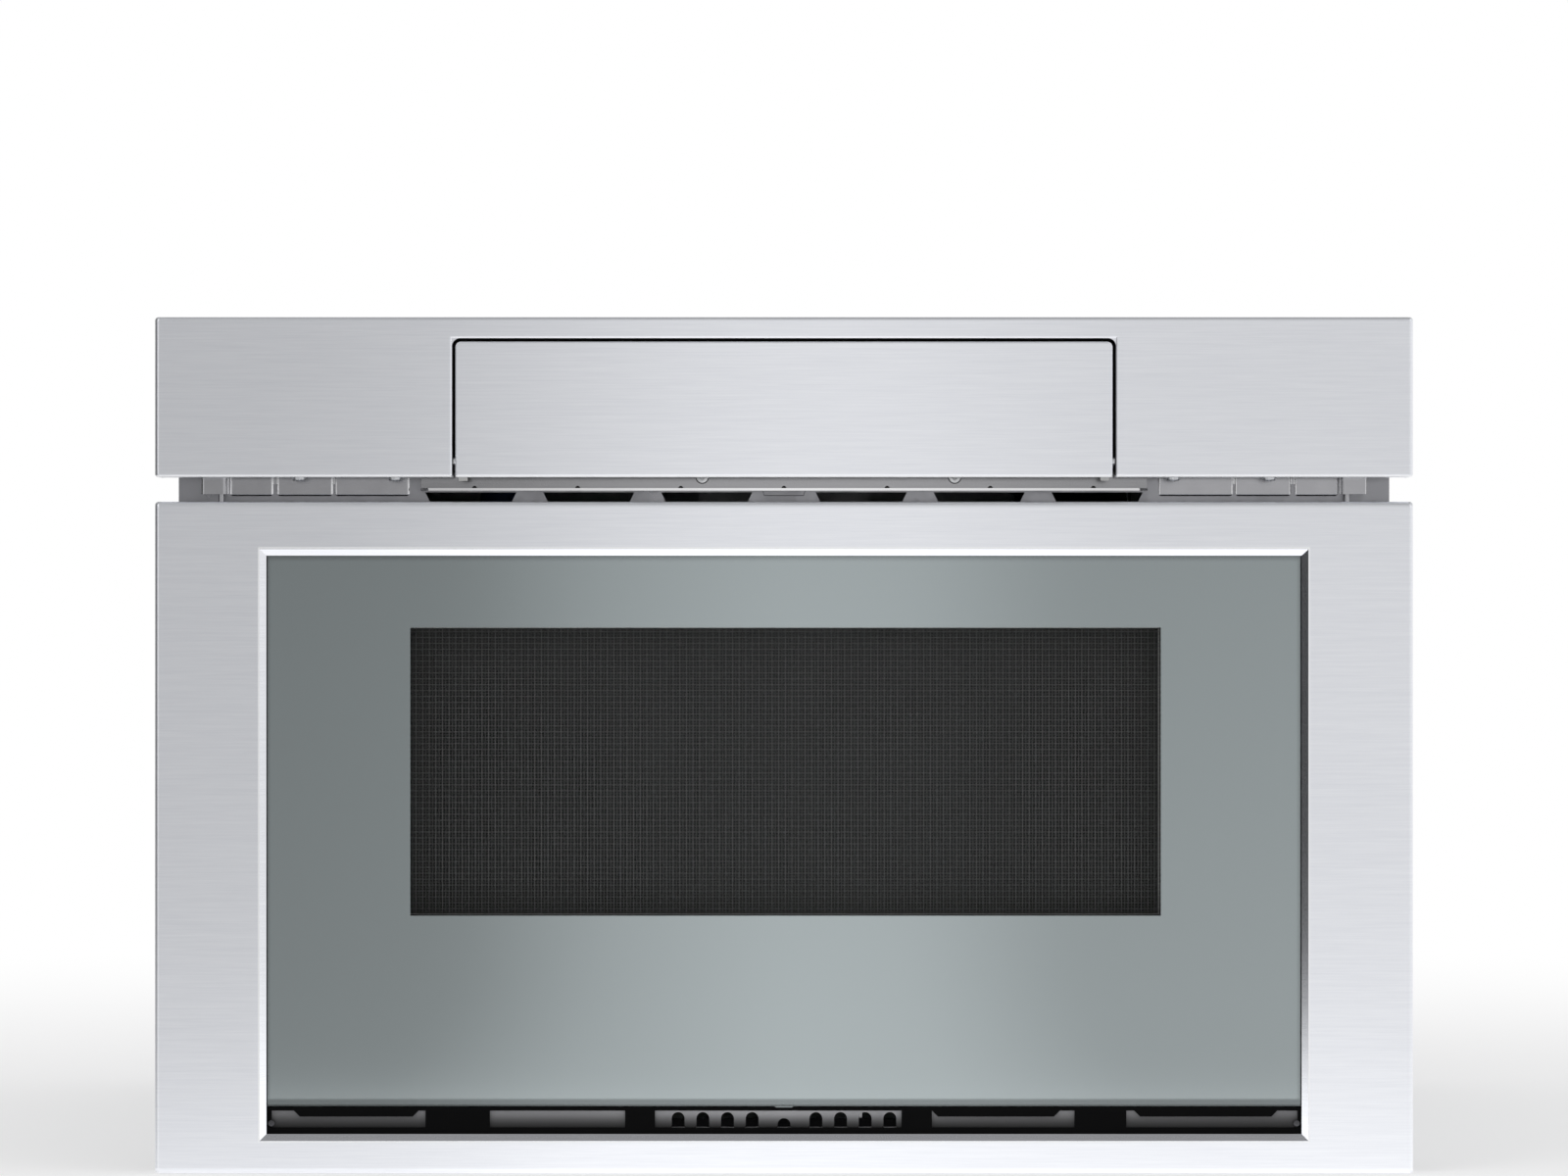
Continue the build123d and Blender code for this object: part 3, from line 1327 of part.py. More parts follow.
with BuildPart() as mesh_screen:
    with BuildSketch(facing(door_rear - inner_sheet)):
        with Locations((0, window_mid_z)):
            Rectangle(window_width + 2 * screen_lap, window_height + 2 * screen_lap)
    extrude(amount=screen_sheet)
mesh_screen.part.label = "mesh_screen"
export_step(mesh_screen.part, "parts/mesh_screen.step")

with BuildPart() as inner_pane:
    with BuildSketch(facing(door_rear + pane_sheet)):
        with Locations((0, window_mid_z)):
            RectangleRounded(window_width + 2 * pane_lap, window_height + 2 * pane_lap, pane_sheet)
    extrude(amount=pane_sheet)
inner_pane.part.label = "inner_pane"
export_step(inner_pane.part, "parts/inner_pane.step")

# Back cover: closes the stainless pan round the inner door. Its opening reaches below the
# skirt, and the air of the slot passes there.
cover_back = front_y + door_return - back_cover_inset

with BuildPart() as door_back_cover:
    with BuildSketch(facing(cover_back)) as cover_sheet_outline:
        rect(-(front_half - front_sheet), front_half - front_sheet,
             door_bottom + front_sheet, door_top - front_sheet)
        fillet(cover_sheet_outline.vertices(), front_corner - front_sheet)
        rect(-choke_out_half, choke_out_half, air_way_low, inner_top, Mode.SUBTRACT)
    extrude(amount=back_cover_sheet)
door_back_cover.part.label = "door_back_cover"
export_step(door_back_cover.part, "parts/door_back_cover.step")

# Air slot under the glass: a black moulded strip with five windows, and behind it a sheet
# deflector with a row of arched notches in its lower edge.
strip_front = glass_front + strip_set
strip_back = strip_front + strip_sheet
strip_top = glass_low - strip_top_gap

with BuildPart() as louvre_strip:
    with BuildSketch(facing(strip_back)):
        rect(-strip_half, strip_half, strip_low, strip_top)
        for left, right in strip_windows:
            rect(left * strip_half, right * strip_half,
                 strip_window_low, strip_window_high, Mode.SUBTRACT)
        for left, right in strip_lips:
            with Locations(((left + right) / 2 * strip_half, strip_window_high)):
                Trapezoid((right - left) * strip_half, strip_lip_height, strip_lip_angle, rotation=180,
                          align=(Align.CENTER, Align.MIN))
    extrude(amount=strip_sheet)
    with BuildSketch(facing(glass_back)):
        rect(-strip_half, strip_half, strip_top - strip_sheet, strip_top)
        rect(-strip_half, strip_half, strip_low, strip_low + strip_sheet)
    extrude(amount=glass_back - strip_back)
louvre_strip.part.label = "louvre_strip"
export_step(louvre_strip.part, "parts/louvre_strip.step")

with BuildPart() as air_deflector:
    with BuildSketch(facing(strip_back + deflector_gap + deflector_sheet)):
        rect(-(strip_half - strip_sheet), strip_half - strip_sheet, arch_low, strip_top - strip_sheet)
        row = [side * (arch_offset + k * arch_pitch) for k in range(arch_count_a_side) for side in (-1, 1)]
        for middle, high in [(x, arch_high) for x in row] + [(0, centre_arch_high)]:
            rect(middle - arch_width / 2, middle + arch_width / 2,
                 arch_low, high - arch_width / 2, Mode.SUBTRACT)
            with Locations((middle, high - arch_width / 2)):
                Circle(arch_width / 2, mode=Mode.SUBTRACT)
    extrude(amount=deflector_sheet)
air_deflector.part.label = "air_deflector"
export_step(air_deflector.part, "parts/air_deflector.step")

# Interlock: hooks on the skirt that pass through the flange into their switch holders.
hook_front = door_rear
hook_back = door_rear + hook_reach

with BuildPart() as latch_hooks:
    with BuildSketch(sideways(hook_x - hook_sheet / 2)) as hook_outline:
        rect(hook_front, hook_back, hook_low, hook_low + hook_height)
        fillet(hook_outline.vertices().group_by(Axis.X)[-1], hook_sheet)
        rect(hook_back - 2 * hook_notch, hook_back - hook_notch, hook_low + hook_height - hook_notch,
             hook_low + hook_height, Mode.SUBTRACT)
    extrude(amount=hook_sheet)
    mirror(about=Plane.YZ)
latch_hooks.part.label = "latch_hooks"
export_step(latch_hooks.part, "parts/latch_hooks.step")

with BuildPart() as switch_holders:
    with BuildSketch(level(holder_low)):
        rect(hook_x - holder_width / 2, hook_x + holder_width / 2, 0, holder_depth)
    extrude(amount=holder_high - holder_low)
    with BuildSketch(facing(holder_depth - hook_sheet)):
        with Locations((hook_x, hook_mid_z)):
            Rectangle(hook_sheet + 2 * hook_slot_gap, hook_height + 2 * hook_slot_gap)
    extrude(amount=holder_depth - hook_sheet, mode=Mode.SUBTRACT)
    mirror(about=Plane.YZ)
switch_holders.part.label = "switch_holders"
export_step(switch_holders.part, "parts/switch_holders.step")

switch_w, switch_d, switch_h = switch_size
switch_back = switch_front + switch_d

with BuildPart() as interlock_switches:
    with BuildSketch(sideways(hook_x + holder_width / 2)):
        for k in range(2):
            rect(switch_front, switch_back,
                 switch_low + k * switch_pitch, switch_low + k * switch_pitch + switch_h)
    extrude(amount=switch_w)
    with BuildSketch(sideways(hook_x + holder_width / 2)):
        for k in range(2):
            rect(switch_back, switch_back + switch_tab, switch_low + k * switch_pitch + switch_h / 2,
                 switch_low + k * switch_pitch + switch_h / 2 + case_sheet)
    extrude(amount=switch_w / 2)
    mirror(about=Plane.YZ)
interlock_switches.part.label = "interlock_switches"
export_step(interlock_switches.part, "parts/interlock_switches.step")

# Fascia: a shallow stainless pan with a notch, open at the bottom, for the tilting panel.
notch_top = fascia_bottom + notch_height

with BuildPart() as fascia_panel:
    with BuildSketch(facing(fascia_back)):
        rect(-front_half, front_half, fascia_bottom, fascia_top)
    extrude(amount=fascia_back - front_y)
    fillet(fascia_panel.edges().filter_by(Axis.Y), front_corner)
    fillet(fascia_panel.faces().sort_by(Axis.Y)[0].edges(), front_bend)
    offset(amount=-front_sheet, openings=fascia_panel.faces().sort_by(Axis.Y)[-1])
    with BuildSketch(facing(fascia_back)):
        rect(-(front_half - front_corner), front_half - front_corner,
             fascia_bottom, fascia_bottom + front_sheet)
    extrude(amount=fascia_back - front_y - fascia_lower_return, mode=Mode.SUBTRACT)
    with BuildSketch(facing(front_y + front_sheet + notch_lip)) as reveal:
        rect(-(notch_half + front_sheet), notch_half + front_sheet, fascia_bottom, notch_top + front_sheet)
        fillet(reveal.vertices().group_by(Axis.Y)[-1], notch_radius + front_sheet)
    extrude(amount=notch_lip)
    with BuildSketch(facing(fascia_back)) as notch:
        rect(-notch_half, notch_half, fascia_bottom, notch_top)
        fillet(notch.vertices().group_by(Axis.Y)[-1], notch_radius)
    extrude(amount=fascia_back - front_y, mode=Mode.SUBTRACT)
    with BuildSketch(level(fascia_bottom)):
        for x in bolt_x:
            with Locations((-x, bolt_y), (x, bolt_y)):
                Circle(bolt_shank_radius + running_clearance)
    extrude(amount=front_sheet, mode=Mode.SUBTRACT)
fascia_panel.part.label = "fascia_panel"
export_step(fascia_panel.part, "parts/fascia_panel.step")

# Fascia brackets: bent sheets on the flange. Three tabs hang below each arm, and the fascia
# rests on the arm and is bolted to it from below.
bracket_inner = notch_half + bracket_tabs[0][0]
bracket_outer = notch_half + bracket_tabs[-1][1]
arm_low = fascia_bottom + front_sheet
tab_low = fascia_bottom - tab_drop
bracket_front = flange_y - fascia_bracket_sheet

with BuildPart() as fascia_brackets:
    with BuildSketch(facing(flange_y)) as tabs:
        rect(bracket_inner, bracket_outer, tab_low, fascia_bottom + fascia_bracket_height)
        for (_, left), (right, _) in zip(bracket_tabs[:-1], bracket_tabs[1:]):
            rect(notch_half + left, notch_half + right,
                 tab_low, fascia_bottom - tab_slot_top, Mode.SUBTRACT)
        fillet(tabs.vertices().group_by(Axis.Y)[0], tab_radius)
    extrude(amount=fascia_bracket_sheet)
    with BuildSketch(level(arm_low)):
        rect(bracket_inner, bracket_outer, -fascia_bracket_reach, bracket_front)
        with Locations(*[(x, bolt_y) for x in bolt_x]):
            Circle(bolt_shank_radius + running_clearance, mode=Mode.SUBTRACT)
    extrude(amount=fascia_bracket_sheet)
    mirror(about=Plane.YZ)
fascia_brackets.part.label = "fascia_brackets"
export_step(fascia_brackets.part, "parts/fascia_brackets.step")

with BuildPart() as front_screws:
    with BuildSketch(level(fascia_bottom - bolt_head_height)):
        for x in bolt_x:
            with Locations((-x, bolt_y), (x, bolt_y)):
                Circle(bolt_head_radius)
    extrude(amount=bolt_head_height)
    with BuildSketch(level(fascia_bottom)):
        for x in bolt_x:
            with Locations((-x, bolt_y), (x, bolt_y)):
                Circle(bolt_shank_radius)
    extrude(amount=bolt_shank)
    with BuildSketch(facing(flange_y - visor_sheet)):
        with Locations(*[(x, fascia_bottom + visor_screw_rise) for x in visor_screws]):
            Circle(visor_screw_radius)
    extrude(amount=visor_screw_head)
front_screws.part.label = "front_screws"
export_step(front_screws.part, "parts/front_screws.step")

# Locating blocks: boxes on the flange that line up the drawer, each with a pin below it.
block_outer = flange_half - block_inset
block_inner = block_outer - block_width
pin_x = flange_half - pin_inset

with BuildPart() as locating_blocks:
    with BuildSketch(level(fascia_bottom - block_drop)) as block:
        rect(block_inner, block_outer, flange_y - block_depth, flange_y)
        fillet(block.vertices().group_by(Axis.Y)[0], block_radius)
    extrude(amount=block_drop + block_rise)
    with BuildSketch(level(fascia_bottom)):
        rect(block_inner, block_outer, flange_y - block_depth,
             front_y + fascia_lower_return + running_clearance)
    extrude(amount=front_sheet, mode=Mode.SUBTRACT)
    with BuildSketch(level(pin_low)):
        with Locations((pin_x, pin_y)):
            Circle(pin_radius)
    extrude(amount=fascia_bottom - block_drop - pin_low)
    mirror(about=Plane.YZ)
locating_blocks.part.label = "locating_blocks"
export_step(locating_blocks.part, "parts/locating_blocks.step")

# Visor: an L of thin sheet above the vents, with half-round reliefs along its bend.
blade_top = fascia_bottom - visor_blade_drop
leg_top = fascia_bottom + visor_leg_top
leg_front = flange_y - visor_sheet

with BuildPart() as vent_visor:
    with BuildSketch(facing(flange_y)):
        rect(-visor_half, visor_half, blade_top - visor_sheet, leg_top)
        with Locations((0, blade_top)):
            with GridLocations(visor_notch_pitch, 0, visor_notch_count, 1):
                RegularPolygon(visor_notch_radius, 8, mode=Mode.SUBTRACT)
    extrude(amount=visor_sheet)
    with BuildSketch(level(blade_top - visor_sheet)) as blade:
        rect(-visor_half, visor_half, leg_front - visor_reach, leg_front)
        chamfer(blade.vertices().group_by(Axis.Y)[0], visor_tip)
    extrude(amount=visor_sheet)
vent_visor.part.label = "vent_visor"
export_step(vent_visor.part, "parts/vent_visor.step")

# Control pocket: the recess in which the control panel tilts. Its roof steps down where it
# passes through the flange into the body.
pocket_front = front_y + front_sheet + notch_lip
pocket_back = pivot_y + wedge_radius + pocket_back_gap
upper_roof = notch_top + front_sheet
floor_start = pivot_y + pocket_floor_start
pocket_cheek_low = pivot_z - pocket_cheek

with BuildPart() as control_pocket:
    with BuildSketch(sideways(-(pocket_half + pocket_wall))):
        rect(pocket_step_y, pocket_back + pocket_wall,
             pocket_floor - pocket_wall, pocket_roof + pocket_wall)
        rect(pocket_front, flange_y, pocket_floor - pocket_wall, upper_roof + pocket_wall)
        rect(pocket_front, floor_start, pocket_cheek_low, pocket_floor)
    extrude(amount=2 * (pocket_half + pocket_wall))
    with BuildSketch(sideways(-pocket_half)):
        rect(pocket_front, pocket_back, pocket_floor, pocket_roof)
        rect(pocket_front, pocket_step_y, pocket_floor, upper_roof)
        rect(pocket_front, floor_start, pocket_cheek_low - pocket_wall, pocket_floor)
    extrude(amount=2 * pocket_half, mode=Mode.SUBTRACT)
    with BuildSketch(sideways(-(pocket_half + pocket_wall))):
        with Locations((pivot_y, pivot_z)):
            Circle(hinge_pin_radius + running_clearance)
    extrude(amount=2 * (pocket_half + pocket_wall), mode=Mode.SUBTRACT)
control_pocket.part.label = "control_pocket"
export_step(control_pocket.part, "parts/control_pocket.step")

# Tilting panel: a stainless skin on a wedge of moulded plastic. The touch glass lies on the
# slope of the wedge, so it faces the user when the wedge has tipped forward.
flap_top = notch_top - flap_gap
skin_back = front_y + front_sheet
slope_top = Vector(skin_back + slope_setback - pivot_y, flap_top - slope_drop - pivot_z)
slope_end = Vector(math.sqrt(wedge_radius**2 - wedge_tail**2), wedge_tail)
along = (slope_end - slope_top).normalized()
outward = Vector(-along.Y, along.X)
slope_length = (slope_end - slope_top).length
wedge_half = flap_half - wedge_side_gap
board_start = panel_pocket_start + wedge_side_gap
board_end = slope_length - panel_pocket_end - wedge_side_gap
board_top = panel_glass + panel_pocket - board_sheet


def on_slope(distance, depth):
    """A point of the wedge's section, from the slope's top end, below the slope."""
    point = slope_top + along * distance - outward * depth
    return (pivot_y + point.X, pivot_z + point.Y)


with BuildPart() as flap_skin:
    with BuildSketch(facing(front_y + flap_return)) as skin:
        rect(-flap_half, flap_half, fascia_bottom, flap_top)
        fillet(skin.vertices().group_by(Axis.Y)[-1], flap_radius)
    extrude(amount=flap_return)
    fillet(flap_skin.faces().sort_by(Axis.Y)[0].edges(), flap_bend)
    offset(amount=-front_sheet, openings=flap_skin.faces().sort_by(Axis.Y)[-1], kind=Kind.INTERSECTION)
flap_skin.part.label = "flap_skin"
export_step(flap_skin.part, "parts/flap_skin.step")

with BuildPart() as flap_wedge:
    with BuildSketch(sideways(-wedge_half)):
        with BuildLine():
            Polyline(
                (skin_back, fascia_bottom + front_sheet),
                (skin_back, on_slope(0, panel_glass)[1]),
                on_slope(0, panel_glass),
                on_slope(slope_length, panel_glass),
                (on_slope(slope_length, panel_glass)[0], pivot_z + wedge_floor),
                (pivot_y + pivot_back, pivot_z + wedge_floor),
                (pivot_y + wedge_floor, fascia_bottom + front_sheet),
                close=True,
            )
        make_face()
    extrude(amount=2 * wedge_half)
    with BuildSketch(sideways(-(wedge_half - panel_pocket_margin))):
        with BuildLine():
            Polyline(
                on_slope(panel_pocket_start, panel_glass),
                on_slope(slope_length - panel_pocket_end, panel_glass),
                on_slope(slope_length - panel_pocket_end, panel_glass + panel_pocket),
                on_slope(panel_pocket_start, panel_glass + panel_pocket),
                close=True,
            )
        make_face()
    extrude(amount=2 * (wedge_half - panel_pocket_margin), mode=Mode.SUBTRACT)
    with BuildSketch(sideways(-wedge_half)):
        with Locations((pivot_y, pivot_z)):
            Circle(hinge_pin_radius + running_clearance)
    extrude(amount=hinge_pin_seat, mode=Mode.SUBTRACT)
    with BuildSketch(sideways(wedge_half - hinge_pin_seat)):
        with Locations((pivot_y, pivot_z)):
            Circle(hinge_pin_radius + running_clearance)
    extrude(amount=hinge_pin_seat, mode=Mode.SUBTRACT)
flap_wedge.part.label = "flap_wedge"
export_step(flap_wedge.part, "parts/flap_wedge.step")

with BuildPart() as control_glass:
    with BuildSketch(sideways(-(wedge_half - panel_glass_inset))):
        with BuildLine():
            Polyline(on_slope(0, 0), on_slope(slope_length, 0), on_slope(slope_length, panel_glass),
                     on_slope(0, panel_glass), close=True)
        make_face()
    extrude(amount=2 * (wedge_half - panel_glass_inset))
control_glass.part.label = "control_glass"
export_step(control_glass.part, "parts/control_glass.step")

with BuildPart() as control_board:
    with BuildSketch(sideways(-(wedge_half - panel_pocket_margin - wedge_side_gap))):
        with BuildLine():
            Polyline(
                on_slope(board_start, board_top),
                on_slope(board_end, board_top),
                on_slope(board_end, board_top + board_sheet),
                on_slope(board_start, board_top + board_sheet),
                close=True,
            )
        make_face()
    extrude(amount=2 * (wedge_half - panel_pocket_margin - wedge_side_gap))
control_board.part.label = "control_board"
export_step(control_board.part, "parts/control_board.step")

# Hinge pins of the panel, and its damper: a gear on the left pin turns a small braked pinion.
gear_near = pocket_half + pocket_wall + damper_side_gap
gear_far = gear_near + small_face
pin_inner = wedge_half - hinge_pin_seat + running_clearance

with BuildPart() as hinge_pins:
    with BuildSketch(sideways(-gear_far)):
        with Locations((pivot_y, pivot_z)):
            Circle(hinge_pin_radius)
    extrude(amount=gear_far - pin_inner)
    with BuildSketch(sideways(pin_inner)):
        with Locations((pivot_y, pivot_z)):
            Circle(hinge_pin_radius)
    extrude(amount=pocket_half + pocket_wall + running_clearance - pin_inner)
hinge_pins.part.label = "hinge_pins"
export_step(hinge_pins.part, "parts/hinge_pins.step")

damper_y = pivot_y + small_module * (flap_gear_tooth_count + damper_tooth_count) / 2

with BuildPart() as flap_gear:
    with BuildSketch(sideways(-gear_far)):
        with Locations((pivot_y, pivot_z)):
            add(gear(small_module, flap_gear_tooth_count, small_backlash, small_tooth_steps, 0))
            Circle(hinge_pin_radius + running_clearance, mode=Mode.SUBTRACT)
    extrude(amount=small_face)
flap_gear.part.label = "flap_gear"
export_step(flap_gear.part, "parts/flap_gear.step")

with BuildPart() as damper_pinion:
    with BuildSketch(sideways(-gear_far)):
        with Locations((damper_y, pivot_z)):
            add(gear(small_module, damper_tooth_count, small_backlash, small_tooth_steps,
                     180 + 180 / damper_tooth_count))
    extrude(amount=small_face)
    with BuildSketch(sideways(-(gear_far + damper_ear_sheet + damper_shaft_seat))):
        with Locations((damper_y, pivot_z)):
            Circle(damper_shaft_radius)
    extrude(amount=damper_ear_sheet + damper_shaft_seat)
damper_pinion.part.label = "damper_pinion"
export_step(damper_pinion.part, "parts/damper_pinion.step")

with BuildPart() as flap_damper:
    with BuildSketch(sideways(-(gear_far + rail_gap + damper_depth))):
        with Locations((damper_y, pivot_z)):
            Circle(damper_radius)
    extrude(amount=damper_depth)
    with BuildSketch(sideways(-(gear_far + rail_gap + damper_ear_sheet))):
        rect(damper_y - damper_radius, flange_y, pivot_z, pivot_z + damper_ear_height)
    extrude(amount=damper_ear_sheet)
    with BuildSketch(facing(flange_y)):
        rect(-(gear_far + rail_gap + damper_depth), -(gear_far + rail_gap),
             pivot_z + damper_radius + damper_ear_sheet, pivot_z + damper_ear_height)
    extrude(amount=damper_ear_sheet)
    with BuildSketch(sideways(-(gear_far + damper_ear_sheet + damper_shaft_seat + shaft_end_gap))):
        with Locations((damper_y, pivot_z)):
            Circle(damper_shaft_radius + running_clearance)
    extrude(amount=damper_ear_sheet + damper_shaft_seat + shaft_end_gap, mode=Mode.SUBTRACT)
flap_damper.part.label = "flap_damper"
export_step(flap_damper.part, "parts/flap_damper.step")

# Cable gland in the rear panel, where the mains lead goes in.
with BuildPart() as cable_gland:
    with BuildSketch(facing(body_depth + gland_flange_sheet)):
        with Locations((gland_x, gland_z)):
            RegularPolygon(gland_flange, 6)
    extrude(amount=gland_flange_sheet)
    with BuildSketch(facing(body_depth)):
        with Locations((gland_x, gland_z)):
            Circle(gland_radius)
    extrude(amount=gland_reach)
    with BuildSketch(facing(body_depth + gland_flange_sheet + gland_reach)):
        with Locations((gland_x, gland_z)):
            Circle(gland_radius)
    extrude(amount=gland_reach)
    with BuildSketch(facing(body_depth + gland_flange_sheet + gland_reach)):
        with Locations((gland_x, gland_z)):
            Circle(gland_bore)
    extrude(amount=gland_flange_sheet + 2 * gland_reach, mode=Mode.SUBTRACT)
cable_gland.part.label = "cable_gland"
export_step(cable_gland.part, "parts/cable_gland.step")
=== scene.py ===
import math

import bpy
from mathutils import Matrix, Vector


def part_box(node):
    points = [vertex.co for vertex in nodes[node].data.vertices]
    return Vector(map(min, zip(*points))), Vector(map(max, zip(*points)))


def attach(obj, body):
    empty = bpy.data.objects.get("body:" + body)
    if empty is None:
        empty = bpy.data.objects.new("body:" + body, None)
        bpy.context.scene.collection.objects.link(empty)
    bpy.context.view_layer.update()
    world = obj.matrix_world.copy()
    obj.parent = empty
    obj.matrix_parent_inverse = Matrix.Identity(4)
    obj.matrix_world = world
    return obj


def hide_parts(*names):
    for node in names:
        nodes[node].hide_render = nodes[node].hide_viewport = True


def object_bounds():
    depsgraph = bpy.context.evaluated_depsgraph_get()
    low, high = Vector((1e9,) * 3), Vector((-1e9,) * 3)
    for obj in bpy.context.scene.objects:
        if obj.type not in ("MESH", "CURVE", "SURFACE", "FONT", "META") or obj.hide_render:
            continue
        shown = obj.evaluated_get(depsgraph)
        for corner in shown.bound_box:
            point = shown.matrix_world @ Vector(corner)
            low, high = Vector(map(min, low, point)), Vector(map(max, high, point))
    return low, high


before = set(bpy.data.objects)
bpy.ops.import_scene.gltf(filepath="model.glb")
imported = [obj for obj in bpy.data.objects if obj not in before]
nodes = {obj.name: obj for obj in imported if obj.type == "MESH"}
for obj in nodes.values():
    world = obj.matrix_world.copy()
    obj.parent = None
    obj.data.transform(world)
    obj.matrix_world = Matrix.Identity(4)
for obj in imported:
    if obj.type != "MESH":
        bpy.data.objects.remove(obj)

cad_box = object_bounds()


# Base, sides, rear panel, top and bulkhead: the case, folded from steel sheet of 0.8 and 1.2 mm.
# The sheet is dipped in zinc, which sets in large pale crystals, and the rolls leave faint lines.
class Wire:
    """One socket of a finish, so that shader maths reads as plain sums."""

    def __init__(self, finish, socket):
        self.finish = finish
        self.socket = socket

    def maths(self, operation, first, second):
        return self.finish.node("ShaderNodeMath", {"operation": operation}, {0: first, 1: second})

    def __add__(self, other):
        return self.maths("ADD", self, other)

    def __radd__(self, other):
        return self.maths("ADD", other, self)

    def __sub__(self, other):
        return self.maths("SUBTRACT", self, other)

    def __rsub__(self, other):
        return self.maths("SUBTRACT", other, self)

    def __mul__(self, other):
        return self.maths("MULTIPLY", self, other)

    def __rmul__(self, other):
        return self.maths("MULTIPLY", other, self)

    def __truediv__(self, other):
        return self.maths("DIVIDE", self, other)

    def __gt__(self, other):
        return self.maths("GREATER_THAN", self, other)

    def __lt__(self, other):
        return self.maths("LESS_THAN", self, other)

    def __abs__(self):
        return self.finish.node("ShaderNodeMath", {"operation": "ABSOLUTE"}, {0: self})


class Finish:
    """The node tree of a material or of the world, read at places on the object."""

    def __init__(self, owner):
        if isinstance(owner, str):
            owner = bpy.data.materials.new(owner)
        self.owner = owner
        owner.use_nodes = True
        self.tree = owner.node_tree
        self.tree.nodes.clear()

    def node(self, kind, settings, inputs, output=0):
        made = self.tree.nodes.new(kind)
        for name, value in settings.items():
            if name == "stops":
                ramp = made.color_ramp.elements
                while len(ramp) < len(value):
                    ramp.new(0.5)
                for element, (position, tint) in zip(ramp, value):
                    element.position = position
                    element.color = tint
            else:
                setattr(made, name, value)
        for name, value in inputs.items():
            if isinstance(value, Wire):
                self.tree.links.new(value.socket, made.inputs[name])
            else:
                made.inputs[name].default_value = value
        return Wire(self, made.outputs[output]) if len(made.outputs) else None

    def place(self, stretch=(1, 1, 1), turn=(0, 0, 0)):
        """The place on the object in metres, stretched or turned for a pattern."""
        at = self.node("ShaderNodeTexCoord", {}, {}, "Object")
        return self.node("ShaderNodeMapping", {}, {
            "Vector": at, "Rotation": turn, "Scale": stretch,
        })

    def along(self, axis):
        """The place along one axis of the object, in metres."""
        return self.node("ShaderNodeSeparateXYZ", {}, {0: self.place()}, axis)

    def noise(self, stretch, detail=2.0):
        """Smooth noise from 0 to 1 with that many grains a metre along each axis."""
        return self.node("ShaderNodeTexNoise", {}, {
            "Vector": self.place(stretch), "Scale": 1.0, "Detail": detail,
        })

    def colours(self, first, second, share):
        """One colour or the other, by a share from 0 to 1."""
        return self.node("ShaderNodeMix", {"data_type": "RGBA"}, {
            0: share, 6: first, 7: second,
        }, 2)

    def ramp(self, value, stops):
        """A number for a value from 0 to 1, by stops of position and number."""
        grey = [(position, (number, number, number, 1)) for position, number in stops]
        return self.node("ShaderNodeValToRGB", {"stops": grey}, {0: value})

    def change(self, value, low, high, start=0.0, end=1.0, course="LINEAR"):
        """Goes from start to end while a value goes from low to high, and then stays."""
        return self.node("ShaderNodeMapRange", {"interpolation_type": course}, {
            0: value, 1: low, 2: high, 3: start, 4: end,
        })

    def eased(self, value, low, high, start=0.0, end=1.0):
        """The same change with a soft beginning and end."""
        return self.change(value, low, high, start, end, "SMOOTHSTEP")

    def relief(self, height, depth):
        """The surface turned by a height from 0 to 1 that is worth a depth in metres."""
        return self.node("ShaderNodeBump", {}, {
            "Strength": 1.0, "Distance": depth, "Height": height,
        })

    def fold(self, inside, radius):
        """How far a folded edge has turned away, in metres, from the way inside the edge."""
        turned = self.change(inside, 0.0, radius, radius, 0.0)
        return turned * turned * (1 / (2 * radius))

    def ray(self, kind):
        """Is 1 for one kind of ray, such as Camera or Glossy, and else 0."""
        return self.node("ShaderNodeLightPath", {}, {}, f"Is {kind} Ray")

    def glow(self, shade):
        """Plain light of one shade."""
        return self.node("ShaderNodeEmission", {}, {"Color": shade, "Strength": 1.0})

    def surface(self, **sockets):
        """Ends the tree in a Principled shader and gives the material back."""
        named = {name.replace("_", " "): value for name, value in sockets.items()}
        shader = self.node("ShaderNodeBsdfPrincipled", {}, named)
        self.node("ShaderNodeOutputMaterial", {}, {"Surface": shader})
        return self.owner


def colour(red, green, blue):
    return (red, green, blue, 1.0)


def dress(material, *names):
    """Gives CAD nodes a material."""
    for name in names:
        mesh = nodes[name].data
        mesh.materials.clear()
        mesh.materials.append(material)


def zinc_sheet(name, pale, dark, crystal, rough=0.3):
    sheet = Finish(name)
    tint = sheet.node("ShaderNodeTexVoronoi", {"feature": "F1"}, {
        "Vector": sheet.place(), "Scale": 1 / crystal,
    }, "Color")
    grain = sheet.node("ShaderNodeSeparateColor", {}, {0: tint}, 0)
    rolled = sheet.noise((12, 380, 380), 3)
    cloud = sheet.noise((9, 9, 9), 3)
    share = grain * 0.45 + rolled * 0.25 + cloud * 0.3
    return sheet.surface(
        Base_Color=sheet.colours(dark, pale, share),
        Metallic=1.0,
        Roughness=rough + grain * 0.14 + cloud * 0.08,
        Normal=sheet.relief(grain * 0.5 + rolled, 0.00004),
    )


case_zinc = zinc_sheet("case_zinc", colour(0.71, 0.73, 0.74), colour(0.57, 0.59, 0.61),
                       crystal=0.009)
dress(case_zinc, "base_plate", "side_panel_left", "side_panel_right", "rear_panel", "top_cover",
      "bulkhead")


# Case screws: zinc-plated pan heads with a cross recess, along the folded edges of the case.
# One head is turned, domed and cut, and then set at each place.
def alone(piece):
    """Selects one object and makes it active."""
    bpy.ops.object.select_all(action="DESELECT")
    piece.select_set(True)
    bpy.context.view_layer.objects.active = piece


